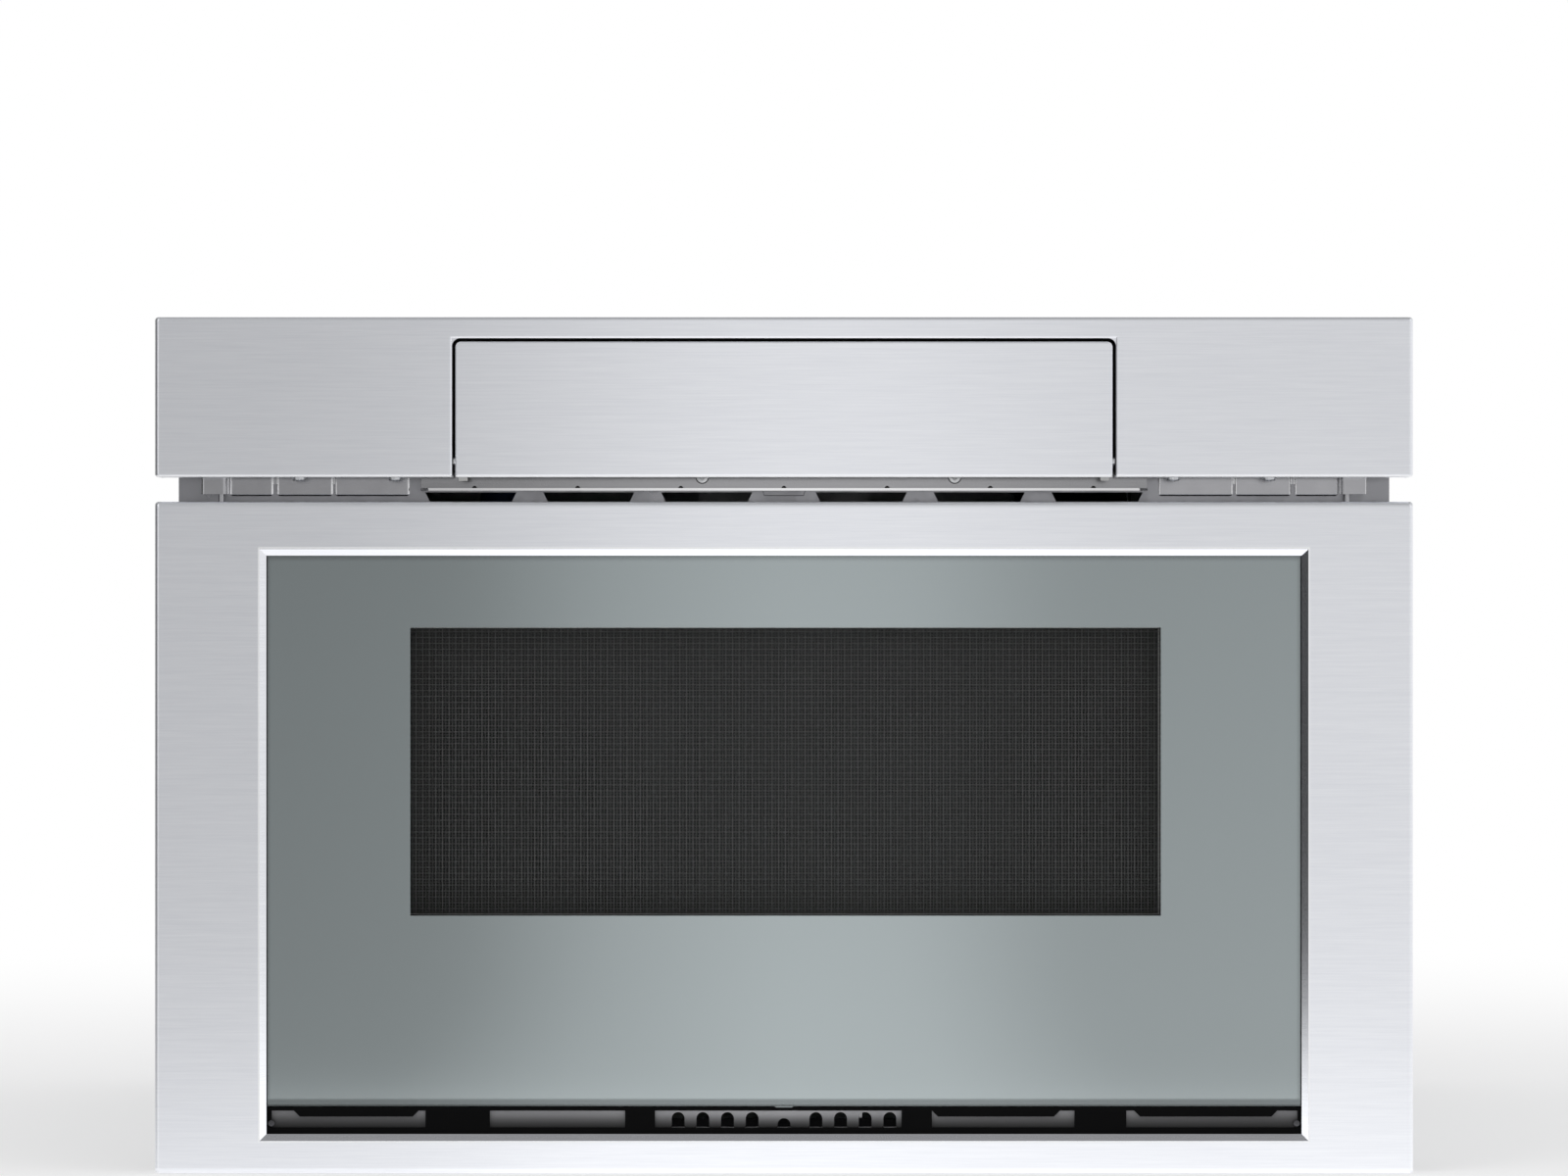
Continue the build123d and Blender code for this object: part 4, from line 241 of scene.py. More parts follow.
def pick(piece, test):
    """In edit mode, selects the faces whose centre and normal pass the test."""
    bpy.ops.object.mode_set(mode="EDIT")
    bpy.ops.mesh.select_mode(type="FACE")
    bpy.ops.mesh.select_all(action="DESELECT")
    bpy.ops.object.mode_set(mode="OBJECT")
    for face in piece.data.polygons:
        face.select = test(face.center, face.normal)
    bpy.ops.object.mode_set(mode="EDIT")


def settled(piece, name, body, material):
    """Ends a piece: it gets its name, material and body."""
    if bpy.context.mode != "OBJECT":
        bpy.ops.object.mode_set(mode="OBJECT")
    alone(piece)
    bpy.ops.object.transform_apply(location=True, rotation=True, scale=True)
    piece.name = name
    piece.data.name = name
    piece.data.materials.clear()
    piece.data.materials.append(material)
    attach(piece, body)


def cut(piece, cutter):
    """Cuts one solid out of another and removes the cutter."""
    alone(piece)
    away = piece.modifiers.new("cut", "BOOLEAN")
    away.operation = "DIFFERENCE"
    away.solver = "EXACT"
    away.object = cutter
    bpy.ops.object.modifier_apply(modifier="cut")
    bpy.data.objects.remove(cutter)


def block(low, high):
    """A box between two corners."""
    middle = [(a + b) / 2 for a, b in zip(low, high)]
    bpy.ops.object.select_all(action="DESELECT")
    bpy.ops.mesh.primitive_cube_add(size=1, location=middle)
    made = bpy.context.object
    made.scale = [b - a for a, b in zip(low, high)]
    bpy.ops.object.transform_apply(location=False, rotation=False, scale=True)
    return made


def joined(pieces):
    """Makes one mesh of several."""
    bpy.ops.object.select_all(action="DESELECT")
    for piece in pieces:
        piece.select_set(True)
    bpy.context.view_layer.objects.active = pieces[0]
    bpy.ops.object.join()
    return pieces[0]


def disc(sides, radius, depth, middle=0.0, turn=0.0):
    """A short cylinder about the upright axis, with its middle at a height."""
    bpy.ops.object.select_all(action="DESELECT")
    bpy.ops.mesh.primitive_cylinder_add(vertices=sides, radius=radius, depth=depth,
                                        location=(0, 0, middle), rotation=(0, 0, turn))
    bpy.ops.object.transform_apply(location=True, rotation=True, scale=False)
    return bpy.context.object


def pan_head(radius, height, sides=28):
    """A domed screw head with a cross recess, standing on the origin and looking up."""
    rim = height * 0.55
    head = disc(sides, radius, rim, rim / 2)
    for shrink, lift in ((0.86, 0.25), (0.72, 0.13), (0.5, 0.07)):
        pick(head, lambda centre, normal: normal.z > 0.9)
        bpy.ops.mesh.extrude_region_move(TRANSFORM_OT_translate={"value": (0, 0, height * lift)})
        bpy.ops.transform.resize(value=(shrink, shrink, 1), center_override=(0, 0, 0))
    bpy.ops.object.mode_set(mode="OBJECT")
    reach, wide = radius * 0.56, radius * 0.13
    recess, clear = height * 0.45, height * 1.5
    cut(head, block((-reach, -wide, recess), (reach, wide, clear)))
    cut(head, block((-wide, -reach, recess), (wide, reach, clear)))
    return head


def set_at(model, places, facing):
    """Copies of a model at each place, with its top turned to a direction, as one mesh."""
    turn = Vector((0, 0, 1)).rotation_difference(Vector(facing)).to_euler()
    copies = []
    for place in places:
        copy = model.copy()
        copy.data = model.data.copy()
        bpy.context.scene.collection.objects.link(copy)
        copy.rotation_euler = turn
        copy.location = place
        copies.append(copy)
    return joined(copies)


def plated(name, pale, dark):
    zinc = Finish(name)
    cloud = zinc.noise((160, 160, 160), 3)
    scuff = zinc.noise((900, 900, 120), 2)
    return zinc.surface(
        Base_Color=zinc.colours(dark, pale, cloud * 0.6 + scuff * 0.4),
        Metallic=1.0,
        Roughness=0.22 + cloud * 0.16,
        Normal=zinc.relief(scuff, 0.00001),
    )


bright_zinc = plated("bright_zinc", colour(0.8, 0.81, 0.83), colour(0.64, 0.65, 0.66))
side_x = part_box("side_panel_right")[1].x
rear_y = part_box("rear_panel")[1].y
side_rows, side_levels = (0.035, 0.2, 0.365, 0.53), (0.0085, 0.3625)
rear_columns, rear_levels = (-0.262, -0.1, 0.1, 0.262), (0.0075, 0.3635)
edge_columns, edge_levels = (-0.2725, 0.2725), (0.13, 0.25)
rear_places = [(x, rear_y, z) for x in rear_columns for z in rear_levels]
rear_places += [(x, rear_y, z) for z in edge_levels for x in edge_columns]
case_head = pan_head(radius=0.0038, height=0.0022)
groups = []
for way in (1, -1):
    side_places = [(way * side_x, y, z) for y in side_rows for z in side_levels]
    groups.append(set_at(case_head, side_places, (way, 0, 0)))
groups.append(set_at(case_head, rear_places, (0, 1, 0)))
settled(joined(groups), "case_screws", "chassis", bright_zinc)
bpy.data.objects.remove(case_head)


# Mounting flange: a sheet of the same coated steel, screwed to the cabinet's face, in darker
# colours that are painted shade for the recess behind the fronts. A small stop is pressed on in
# its middle, under the visor.
shaded_flange_zinc = zinc_sheet("shaded_flange_zinc", colour(0.41, 0.41, 0.43), colour(0.36, 0.36, 0.38),
                         crystal=0.006, rough=0.23)
dress(shaded_flange_zinc, "mounting_flange")
flange_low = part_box("mounting_flange")[0]
stop_half, stop_thick, stop_taper = 0.0112, 0.0006, 0.86
stop_bottom, stop_top = 0.316, 0.3208
stop = block((-stop_half, flange_low.y - stop_thick, stop_bottom),
             (stop_half, flange_low.y, stop_top))
pick(stop, lambda centre, normal: normal.z < -0.9)
bpy.ops.transform.resize(value=(stop_taper, 1, 1), center_override=(0, 0, 0))
pick(stop, lambda centre, normal: normal.y < -0.9)
bpy.ops.mesh.bevel(offset=0.00035, segments=3)
settled(stop, "visor_stop", "chassis", shaded_flange_zinc)


# Fascia brackets and locating blocks: bent from brighter coated sheet, with three tabs a side
# under the fascia. The edges of the tabs and blocks are rounded and carry a painted highlight.
flap_low, flap_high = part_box("flap_skin")
notch_gap = 0.0017
notch_half = flap_high.x + notch_gap
tab_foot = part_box("fascia_brackets")[0].z
tab_steps = ((0.0218, 0.058), (0.059, 0.0861), (0.088, 0.109))
spans = [(notch_half + near, notch_half + far) for near, far in tab_steps]
last_tab_end = spans[-1][1]
block_end, block_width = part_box("locating_blocks")[1].x, 0.0129
spans.append((block_end - block_width, block_end))
side_radius, foot_radius, slack, highlight_from = 0.0011, 0.001, 0.0003, 0.00006
bracket = Finish("bracket_zinc")
mottle = bracket.noise((90, 90, 90), 3)
across = abs(bracket.along("X"))
# The edge mask rounds the edges by bump and also paints them near-white: a painted highlight.
rounding_and_highlight = 0.0
for near, far in spans:
    inside = (across > near - slack) * (across < far + slack)
    sides = bracket.fold(across - near, side_radius) + bracket.fold(far - across, side_radius)
    rounding_and_highlight = rounding_and_highlight + inside * sides
foot = bracket.fold(bracket.along("Z") - tab_foot, foot_radius) * (across < last_tab_end)
dress(bracket.surface(
    Base_Color=bracket.colours(
        bracket.colours(colour(0.46, 0.46, 0.48), colour(0.56, 0.56, 0.58), mottle),
        colour(0.97, 0.97, 0.98), rounding_and_highlight > highlight_from),
    Metallic=1.0,
    Roughness=0.16 + mottle * 0.08,
    Normal=bracket.relief(mottle * 0.00001 - (rounding_and_highlight + foot), 1.0),
), "fascia_brackets", "locating_blocks")


# Slide brackets, waveguide and back cover of the drawer's door: folded from coated sheet, with
# finer crystals than the case's. The slide brackets are a little darker.
rail_zinc = zinc_sheet("rail_zinc", colour(0.5, 0.5, 0.53), colour(0.36, 0.36, 0.39),
                       crystal=0.004)
dress(rail_zinc, "rail_brackets")
inner_zinc = zinc_sheet("inner_zinc", colour(0.68, 0.68, 0.7), colour(0.5, 0.5, 0.52),
                        crystal=0.006)
dress(inner_zinc, "waveguide", "door_back_cover")


# Cavity, tray and inner door: pressed and welded from stainless steel sheet with a satin face.
# The stirrer's cover closes the cavity above.
satin = Finish("cavity_satin")
grain = satin.noise((60, 900, 900), 3)
cloud = satin.noise((14, 14, 14), 3)
dress(satin.surface(
    Base_Color=satin.colours(colour(0.56, 0.56, 0.55), colour(0.72, 0.72, 0.71),
                             grain * 0.5 + cloud * 0.5),
    Metallic=1.0,
    Roughness=0.3 + grain * 0.12,
    Normal=satin.relief(grain, 0.00002),
), "cavity_shell", "drawer_tray", "inner_door")


# Stirrer cover: a plate of pressed mica, which lets microwaves through, in the roof of the
# cavity. Its flakes show as pale scales.
mica = Finish("pressed_mica")
flakes = mica.node("ShaderNodeTexVoronoi", {"feature": "F1"}, {
    "Vector": mica.place(), "Scale": 420.0,
}, "Color")
flake = mica.node("ShaderNodeSeparateColor", {}, {0: flakes}, 1)
dress(mica.surface(
    Base_Color=mica.colours(colour(0.6, 0.54, 0.44), colour(0.78, 0.74, 0.64), flake),
    Roughness=0.35 + flake * 0.25,
    Normal=mica.relief(flake, 0.00003),
), "stirrer_cover")


# Stirrer: a mill-finished aluminium fan under the cavity's roof, on the shaft of a slow motor.
# The cans of this motor, of the other motors and of the capacitor are plated alike.
mill = Finish("mill_aluminium")
rolled = mill.noise((700, 60, 700), 2)
dress(mill.surface(
    Base_Color=mill.colours(colour(0.74, 0.75, 0.76), colour(0.83, 0.84, 0.85), rolled),
    Metallic=1.0,
    Roughness=0.28 + rolled * 0.14,
    Normal=mill.relief(rolled, 0.00002),
), "mode_stirrer")
can_plating = plated("can_plating", colour(0.62, 0.63, 0.64), colour(0.48, 0.49, 0.5))
dress(can_plating, "stirrer_motor", "drive_motor", "fan_motor", "capacitor")


# Magnetron: aluminium fins between plates, with a steel filter box below and the antenna on top.
# The ring magnet under the upper plate is black.
tube = Finish("magnetron_parts")
height = tube.along("Z")
brush = tube.noise((90, 900, 900), 2)
antenna_height = 0.025
plate_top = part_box("magnetron")[1].z - antenna_height
magnet_low, magnet_high = plate_top - 0.0106, plate_top - 0.0016
ring = (height > magnet_low) * (height < magnet_high)
dress(tube.surface(
    Base_Color=tube.colours(
        tube.colours(colour(0.66, 0.67, 0.68), colour(0.78, 0.79, 0.8), brush),
        colour(0.05, 0.05, 0.055), ring),
    Metallic=1 - ring,
    Roughness=0.32 + brush * 0.1 + ring * 0.25,
    Normal=tube.relief(brush, 0.00002),
), "magnetron")


# Transformer: a core of dark varnished laminations, and two coils of enamelled copper wire. The
# laminations and the turns of the coils show as fine ribs.
core = Finish("varnished_core")
edges = core.node("ShaderNodeTexWave", {"wave_type": "BANDS", "bands_direction": "Y"}, {
    "Vector": core.place(), "Scale": 250.0, "Distortion": 0.6, "Detail": 1.0,
}, 1)
dress(core.surface(
    Base_Color=core.colours(colour(0.08, 0.075, 0.07), colour(0.2, 0.19, 0.18), edges),
    Metallic=0.6,
    Roughness=0.42 + edges * 0.15,
    Normal=core.relief(edges, 0.0002),
), "transformer_core")
wound = Finish("wound_copper")
turns = wound.node("ShaderNodeTexWave", {"wave_type": "BANDS", "bands_direction": "Z"}, {
    "Vector": wound.place(), "Scale": 320.0, "Distortion": 0.3, "Detail": 1.0,
}, 1)
dress(wound.surface(
    Base_Color=wound.colours(colour(0.35, 0.12, 0.04), colour(0.74, 0.36, 0.16), turns),
    Metallic=0.85,
    Roughness=0.3 + turns * 0.1,
    Normal=wound.relief(turns, 0.0004),
), "transformer_coils")


# Boards: glass-fibre board under green solder resist, with black parts on one half and blue cans
# on the other, soldered in. The board of the control panel shows its tracks alone.
def printed_board(name, turn, up, face, split):
    """Tracks up to the face, and above it the parts: black, and blue to the right of the split."""
    board = Finish(name)
    tracks = board.node("ShaderNodeTexBrick", {}, {
        "Vector": board.place((1, 1, 1), turn), "Scale": 130.0, "Mortar Size": 0.12,
        "Color1": colour(0.02, 0.16, 0.07), "Color2": colour(0.03, 0.21, 0.09),
        "Mortar": colour(0.07, 0.33, 0.15),
    })
    above = board.along(up) > face
    blue = board.along("X") > split
    parts = board.colours(colour(0.03, 0.03, 0.035), colour(0.05, 0.09, 0.28), blue)
    speck = board.noise((700, 700, 700), 2)
    return board.surface(
        Base_Color=board.colours(tracks, parts, above),
        Roughness=0.35 + above * 0.15 + speck * 0.1,
        Normal=board.relief(speck, 0.00003),
    )


for name, turn, up, board_face in (("power_board", (0, 0, 0), "Z", 0.0137),
                                   ("filter_board", (math.pi / 2, 0, 0), "Y", 0.0077)):
    low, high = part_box(name)
    face = low["XYZ".index(up)] + board_face
    dress(printed_board(name + "_parts", turn, up, face, (low.x + high.x) / 2), name)
out_of_reach = 1.0
dress(printed_board("panel_board_parts", (0, 0, 0), "Z", out_of_reach, 0.0), "control_board")


# Fan shroud and rotor, choke cover, lamp holder, panel wedge and gland: black plastic, moulded
# in tools with a spark-eroded face, so it is matt with a fine even grain.
def moulded(name, tone, rough, grain=2600, gloss=0.5):
    plastic = Finish(name)
    pits = plastic.noise((grain, grain, grain), 2)
    flow = plastic.noise((22, 22, 22), 2)
    darker = colour(*(channel * 0.82 for channel in tone[:3]))
    return plastic.surface(
        Base_Color=plastic.colours(darker, tone, flow),
        Roughness=rough + pits * 0.1,
        Specular_IOR_Level=gloss,
        Normal=plastic.relief(pits, 0.00003),
    )


black_moulding = moulded("black_moulding", colour(0.024, 0.024, 0.026), rough=0.42)
dress(black_moulding, "fan_shroud", "fan_rotor", "choke_cover", "lamp_holder", "flap_wedge",
      "cable_gland")


# Louvre strip: moulded like those, but dull and of a deeper black that is painted shade, so that
# the air slot looks empty. It is screwed on at its ends.
louvre_plastic = moulded("slot_moulding", colour(0.0016, 0.0016, 0.0018), rough=0.7, gloss=0.07)
dress(louvre_plastic, "louvre_strip")


# Switch holders, hooks, the panel's gear and its damper: moulded from white plastic that runs
# without grease. The switches in the holders are dark grey.
white_moulding = moulded("white_moulding", colour(0.78, 0.78, 0.75), rough=0.38)
dress(white_moulding, "switch_holders", "latch_hooks", "flap_gear", "damper_pinion",
      "flap_damper")
grey_moulding = moulded("switch_moulding", colour(0.1, 0.1, 0.11), rough=0.35)
dress(grey_moulding, "interlock_switches")


# Control pocket: a box of folded sheet behind the fascia's notch. Its black is painted shade, so
# that nothing shines in the gap round the panel.
gap_shade_black = Finish("gap_shade_black")
peel = gap_shade_black.noise((700, 700, 700), 2)
dress(gap_shade_black.surface(
    Base_Color=gap_shade_black.colours(colour(0.006, 0.006, 0.007), colour(0.012, 0.012, 0.013), peel),
    Roughness=0.5 + peel * 0.1,
    Normal=gap_shade_black.relief(peel, 0.00002),
), "control_pocket")


# Lamp bulb: blown from clear glass, with a faint haze. It sits in the lamp holder, above the
# pierced window of the cavity's roof.
bulb = Finish("bulb_glass")
haze = bulb.noise((220, 220, 90), 2)
dress(bulb.surface(
    Base_Color=bulb.colours(colour(0.93, 0.94, 0.93), colour(0.97, 0.98, 0.97), haze),
    Roughness=0.01 + haze * 0.03,
    Transmission_Weight=1.0,
    IOR=1.47,
), "lamp_bulb")


# Slides: three cold-formed steel members a side, drawn lengthways and plated in bright zinc.
# They run in each other, and the outer ones are fixed to the slide brackets.
slide = Finish("slide_plating")
drawn = slide.noise((900, 14, 900), 3)
patch = slide.noise((30, 30, 30), 2)
dress(slide.surface(
    Base_Color=slide.colours(colour(0.62, 0.64, 0.68), colour(0.8, 0.82, 0.85),
                             drawn * 0.5 + patch * 0.5),
    Metallic=1.0,
    Roughness=0.2 + drawn * 0.14,
    Normal=slide.relief(drawn, 0.00002),
), "rail_outers", "rail_middles", "rail_inners")


# Hinge pins: two turned steel pins, about which the control panel tilts. Their bright plating is
# that of the case's screws.
dress(bright_zinc, "hinge_pins")


# Underframe, rack and pinion: the underframe is two folded beams and a front plate, and carries
# the tray. The rack and the pinion are cut from solid steel. All are plated in dull zinc.
dull_zinc = plated("dull_zinc", colour(0.66, 0.67, 0.68), colour(0.5, 0.51, 0.52))
dress(dull_zinc, "drawer_underframe", "drive_rack", "drive_pinion")


# Floor plate: a pale glass-ceramic sheet, smooth, with a faint fleck and a light gloss. It lies
# on the floor of the tray.
ceramic = Finish("pale_glass_ceramic")
fleck = ceramic.noise((520, 520, 520), 2)
dress(ceramic.surface(
    Base_Color=ceramic.colours(colour(0.76, 0.74, 0.69), colour(0.84, 0.82, 0.77), fleck),
    Roughness=0.12 + fleck * 0.06,
    Coat_Weight=0.4,
), "floor_plate")


# Door glass: float glass, 4 mm, bonded into the drawer's front. Its index of refraction is kept
# low, so that the reflections come from the print on its back.
clear = Finish("clear_glass_finish")
clear_glass = clear.surface(
    Base_Color=clear.colours(colour(0.965, 0.982, 0.976), colour(0.975, 0.988, 0.984),
                             clear.noise((9, 9, 9), 2)),
    Roughness=0.0,
    Transmission_Weight=1.0,
    IOR=1.13,
)
dress(clear_glass, "door_glass")


# Inner pane: smoked glass behind the door's screen, towards the cooking space. Its index is low
# for the same reason.
smoked = Finish("smoked_glass")
dress(smoked.surface(
    Base_Color=smoked.colours(colour(0.24, 0.25, 0.25), colour(0.26, 0.27, 0.27),
                              smoked.noise((9, 9, 9), 2)),
    Roughness=0.01,
    Transmission_Weight=1.0,
    IOR=1.1,
), "inner_pane")


# Print on the door glass: a mirror-like grey-green coat covers its back, apart from the window.
# The coat is a little darker towards the edges.
glass_low, glass_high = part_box("door_glass")
print_margin, print_lift, print_thick, through = 0.0004, 0.00012, 0.00006, 0.01
print_y = glass_high.y - print_lift
window_low, window_high = (-0.1805, 0.1129), (0.182, 0.2521)
sheet = block((glass_low.x + print_margin, print_y, glass_low.z + print_margin),
              (glass_high.x - print_margin, print_y + print_thick, glass_high.z - print_margin))
cut(sheet, block((window_low[0], print_y - through, window_low[1]),
                 (window_high[0], print_y + through, window_high[1])))
mirror = Finish("grey_mirror_print")
side = mirror.along("X")
up = mirror.along("Z")
inner = (mirror.eased(side - glass_low.x, 0.001, 0.005) *
         mirror.eased(glass_high.x - side, 0.001, 0.0055) *
         mirror.eased(up - glass_low.z, 0.0026, 0.0042) *
         mirror.eased(glass_high.z - up, 0.0016, 0.006))
mirror_print = mirror.surface(
    Base_Color=mirror.colours(colour(0.21, 0.23, 0.236), colour(0.392, 0.432, 0.443), inner),
    Metallic=1.0,
    Roughness=0.1,
)
settled(sheet, "door_glass_print", "drawer", mirror_print)


# Glass tongue: the lower edge of the glass is ground, and leaves a small tongue in its middle.
# The print runs over it.
tongue_half, tongue_drop, tongue_root = 0.0047, 0.0004, 0.0002
tongue_inset, tongue_taper = 0.0004, 0.8
tongue = block((-tongue_half, glass_low.y + tongue_inset, glass_low.z - tongue_drop),
               (tongue_half, glass_high.y - tongue_inset, glass_low.z + tongue_root))
pick(tongue, lambda centre, normal: normal.z < -0.9)
bpy.ops.transform.resize(value=(tongue_taper, 1, 1), center_override=(0, 0, 0))
settled(tongue, "glass_tongue", "drawer", mirror_print)


# Door screen: a steel sheet with thousands of holes at 1.6 by 1.43 mm, enamelled black. It is
# drawn as its bars, one set upright and one across, in a plain border. Every second bar is a
# little paler, so that the grid still shows in a small picture.
pitch_across, pitch_up = 0.0016, 0.00143
upright_bar, cross_bar = 0.00044, 0.00036
low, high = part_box("mesh_screen")
border_width, tuck = 0.0095, 0.00003
open_low = (low.x + border_width, low.z + border_width)
open_high = (high.x - border_width, high.z - border_width)
columns = int((open_high[0] - open_low[0]) / pitch_across)
rows = int((open_high[1] - open_low[1]) / pitch_up)


def repeated(piece, count, step):
    """A row of copies of a piece at a constant step."""
    alone(piece)
    row = piece.modifiers.new("row", "ARRAY")
    row.use_relative_offset = False
    row.use_constant_offset = True
    row.constant_offset_displace = step
    row.count = count
    bpy.ops.object.modifier_apply(modifier="row")
    return piece


upright = block((open_low[0], low.y, open_low[1]),
                (open_low[0] + upright_bar, high.y, open_high[1]))
level = block((open_low[0], low.y + tuck, open_low[1]),
              (open_high[0], high.y - tuck, open_low[1] + cross_bar))
uprights = repeated(upright, columns + 1, (pitch_across, 0, 0))
levels = repeated(level, rows + 1, (0, 0, pitch_up))
border = block(low, high)
cut(border, block((open_low[0], low.y - through, open_low[1]),
                  (open_high[0], high.y + through, open_high[1])))
enamel = Finish("black_enamel")
wave = enamel.noise((240, 240, 240), 2)


def within(axis, start, step, share):
    """Is 1 in the first share of each step along an axis, and else 0."""
    steps = (enamel.along(axis) - start) / step
    return enamel.node("ShaderNodeMath", {"operation": "FRACT"}, {0: steps}) < share


on_upright = within("X", open_low[0], pitch_across, upright_bar / pitch_across)
pale_upright = within("X", open_low[0], 2 * pitch_across, 0.5) * 0.6 + 0.2
pale_level = within("Z", open_low[1], 2 * pitch_up, 0.5)
raised = on_upright * pale_upright + (1 - on_upright) * pale_level
black_enamel = enamel.surface(
    Base_Color=enamel.colours(colour(0.038, 0.038, 0.039), colour(0.105, 0.105, 0.106), raised),
    Roughness=0.5 + wave * 0.1,
    Specular_IOR_Level=0.2,
)
screen = joined([border, uprights, levels])
settled(screen, "door_screen", "drawer", black_enamel)
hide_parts("mesh_screen")


# Drawer front, fascia and the skin of the control panel: stainless steel, brushed from side to
# side and folded, so each edge is a small radius. The brushing stretches reflections up and down.
# The bevel round the glass is polished. Its rim and the fascia's lower edge carry a painted
# highlight.
steel = Finish("brushed_stainless")
stroke = steel.noise((26, 26, 1300), 3)
scratch = steel.noise((70, 70, 5200), 2)
cloud = steel.noise((6, 6, 9), 2)
share = steel.ramp(stroke * 0.5 + scratch * 0.35 + cloud * 0.15, [(0.32, 0.0), (0.68, 1.0)])
across = abs(steel.along("X"))
up = steel.along("Z")
depth = steel.along("Y")
bevel_half, bevel_low, bevel_high, bevel_back = 0.2528, 0.0045, 0.2902, -0.0224
rim_width, highlight_tone = 0.00065, colour(0.97, 0.98, 0.995)


def framed(margin):
    """Is 1 on the bevel round the glass and on a margin outside it, and else 0."""
    return (across < bevel_half + margin) * (up > bevel_low - margin) * \
        (up < bevel_high + margin) * (depth < bevel_back)


polished = framed(0.0)
rim = framed(rim_width) * (1 - polished)
door_low, door_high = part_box("door_frame")
fascia_low, fascia_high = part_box("fascia_panel")
fascia = up > (door_high.z + fascia_low.z) / 2
above = up - (flap_high.z + notch_gap)
beside = across - notch_half
half_gap = 0.0008
flap = fascia * (above < -half_gap) * (beside < -half_gap)
outside = steel.node("ShaderNodeMath", {"operation": "MAXIMUM"}, {0: above, 1: beside})
frame_edges = steel.fold(door_high.x - across, 0.0022) + \
    (1 - polished) * steel.fold(depth - door_low.y, 0.0016)
door_edges = steel.fold(door_high.z - up, 0.003) + steel.fold(up - door_low.z, 0.0026)
fascia_edges = steel.fold(fascia_high.z - up, 0.002) + steel.fold(up - fascia_low.z, 0.0016)
notch_edges = steel.fold(outside, 0.001)
flap_edges = steel.fold(flap_high.z - up, 0.001) + steel.fold(flap_high.x - across, 0.001) + \
    steel.fold(up - flap_low.z, 0.0016)
turned = frame_edges + (1 - fascia) * door_edges + \
    fascia * (1 - flap) * (fascia_edges + notch_edges) + flap * flap_edges
bevel_roll = polished * (depth - door_low.y) * 0.12
# Painted highlight: near-white colour on a thin rim round the bevel and on the fascia's lower edge.
line_height, line_depth = 0.0009, 0.0012
lower_edge_highlight = fascia * (up < fascia_low.z + line_height) * (depth < door_low.y + line_depth)
bright = rim + lower_edge_highlight
worn = steel.colours(colour(0.855, 0.872, 0.92), colour(0.94, 0.955, 0.995), share)
brushed = steel.surface(
    Base_Color=steel.colours(worn, highlight_tone, bright),
    Metallic=0.86 - bright * 0.55 + polished * 0.11,
    Roughness=0.27 + scratch * 0.06 - polished * 0.17,
    Anisotropic=0.7,
    Anisotropic_Rotation=0.25,
    Normal=steel.relief(bevel_roll - turned + scratch * 0.000004, 1.0),
)
dress(brushed, "door_frame", "fascia_panel", "flap_skin")


# Air deflector: grey painted sheet behind the black strip, with arched holes. Its foot and its
# ends are darkened with painted shade.
paint = Finish("deflector_paint")
peel = paint.noise((500, 500, 500), 2)
strip_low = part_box("louvre_strip")[0]
shade_foot, shade_top, slot_half = strip_low.z + 0.0088, strip_low.z + 0.0165, 0.25
# Painted shade: the grey goes to near-black towards the foot and towards the ends.
painted_light_rise = paint.change(paint.along("Z"), shade_foot, shade_top)
middle = paint.ramp(abs(paint.along("X")) / slot_half, [(0.0, 1.0), (0.38, 0.62), (1.0, 0.42)])
dress(paint.surface(
    Base_Color=paint.colours(colour(0.006, 0.006, 0.0065), colour(0.5, 0.5, 0.52),
                             painted_light_rise * painted_light_rise * middle),
    Metallic=0.2,
    Roughness=0.4 + peel * 0.1,
    Normal=paint.relief(peel, 0.00002),
), "air_deflector")


# Front screws: four hold the fascia from below, and two hold the visor. The real heads are domed
# with a cross recess, and the shanks are threaded and plated.
visor_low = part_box("vent_visor")[0]
fascia_columns, visor_columns = (0.188, 0.2343), (-0.0397, 0.0829)
fascia_screw_y = -0.018
visor_screw_y, visor_screw_z = visor_low.y + 0.0073, fascia_low.z + 0.0005
fascia_places = [(way * x, fascia_screw_y, fascia_low.z)
                 for x in fascia_columns for way in (-1, 1)]
visor_places = [(x, visor_screw_y, visor_screw_z) for x in visor_columns]
fascia_head = pan_head(radius=0.0033, height=0.0019, sides=32)
fascia_heads = set_at(fascia_head, fascia_places, (0, 0, -1))
visor_head = pan_head(radius=0.0033, height=0.0018, sides=32)
visor_heads = set_at(visor_head, visor_places, (0, -1, 0))


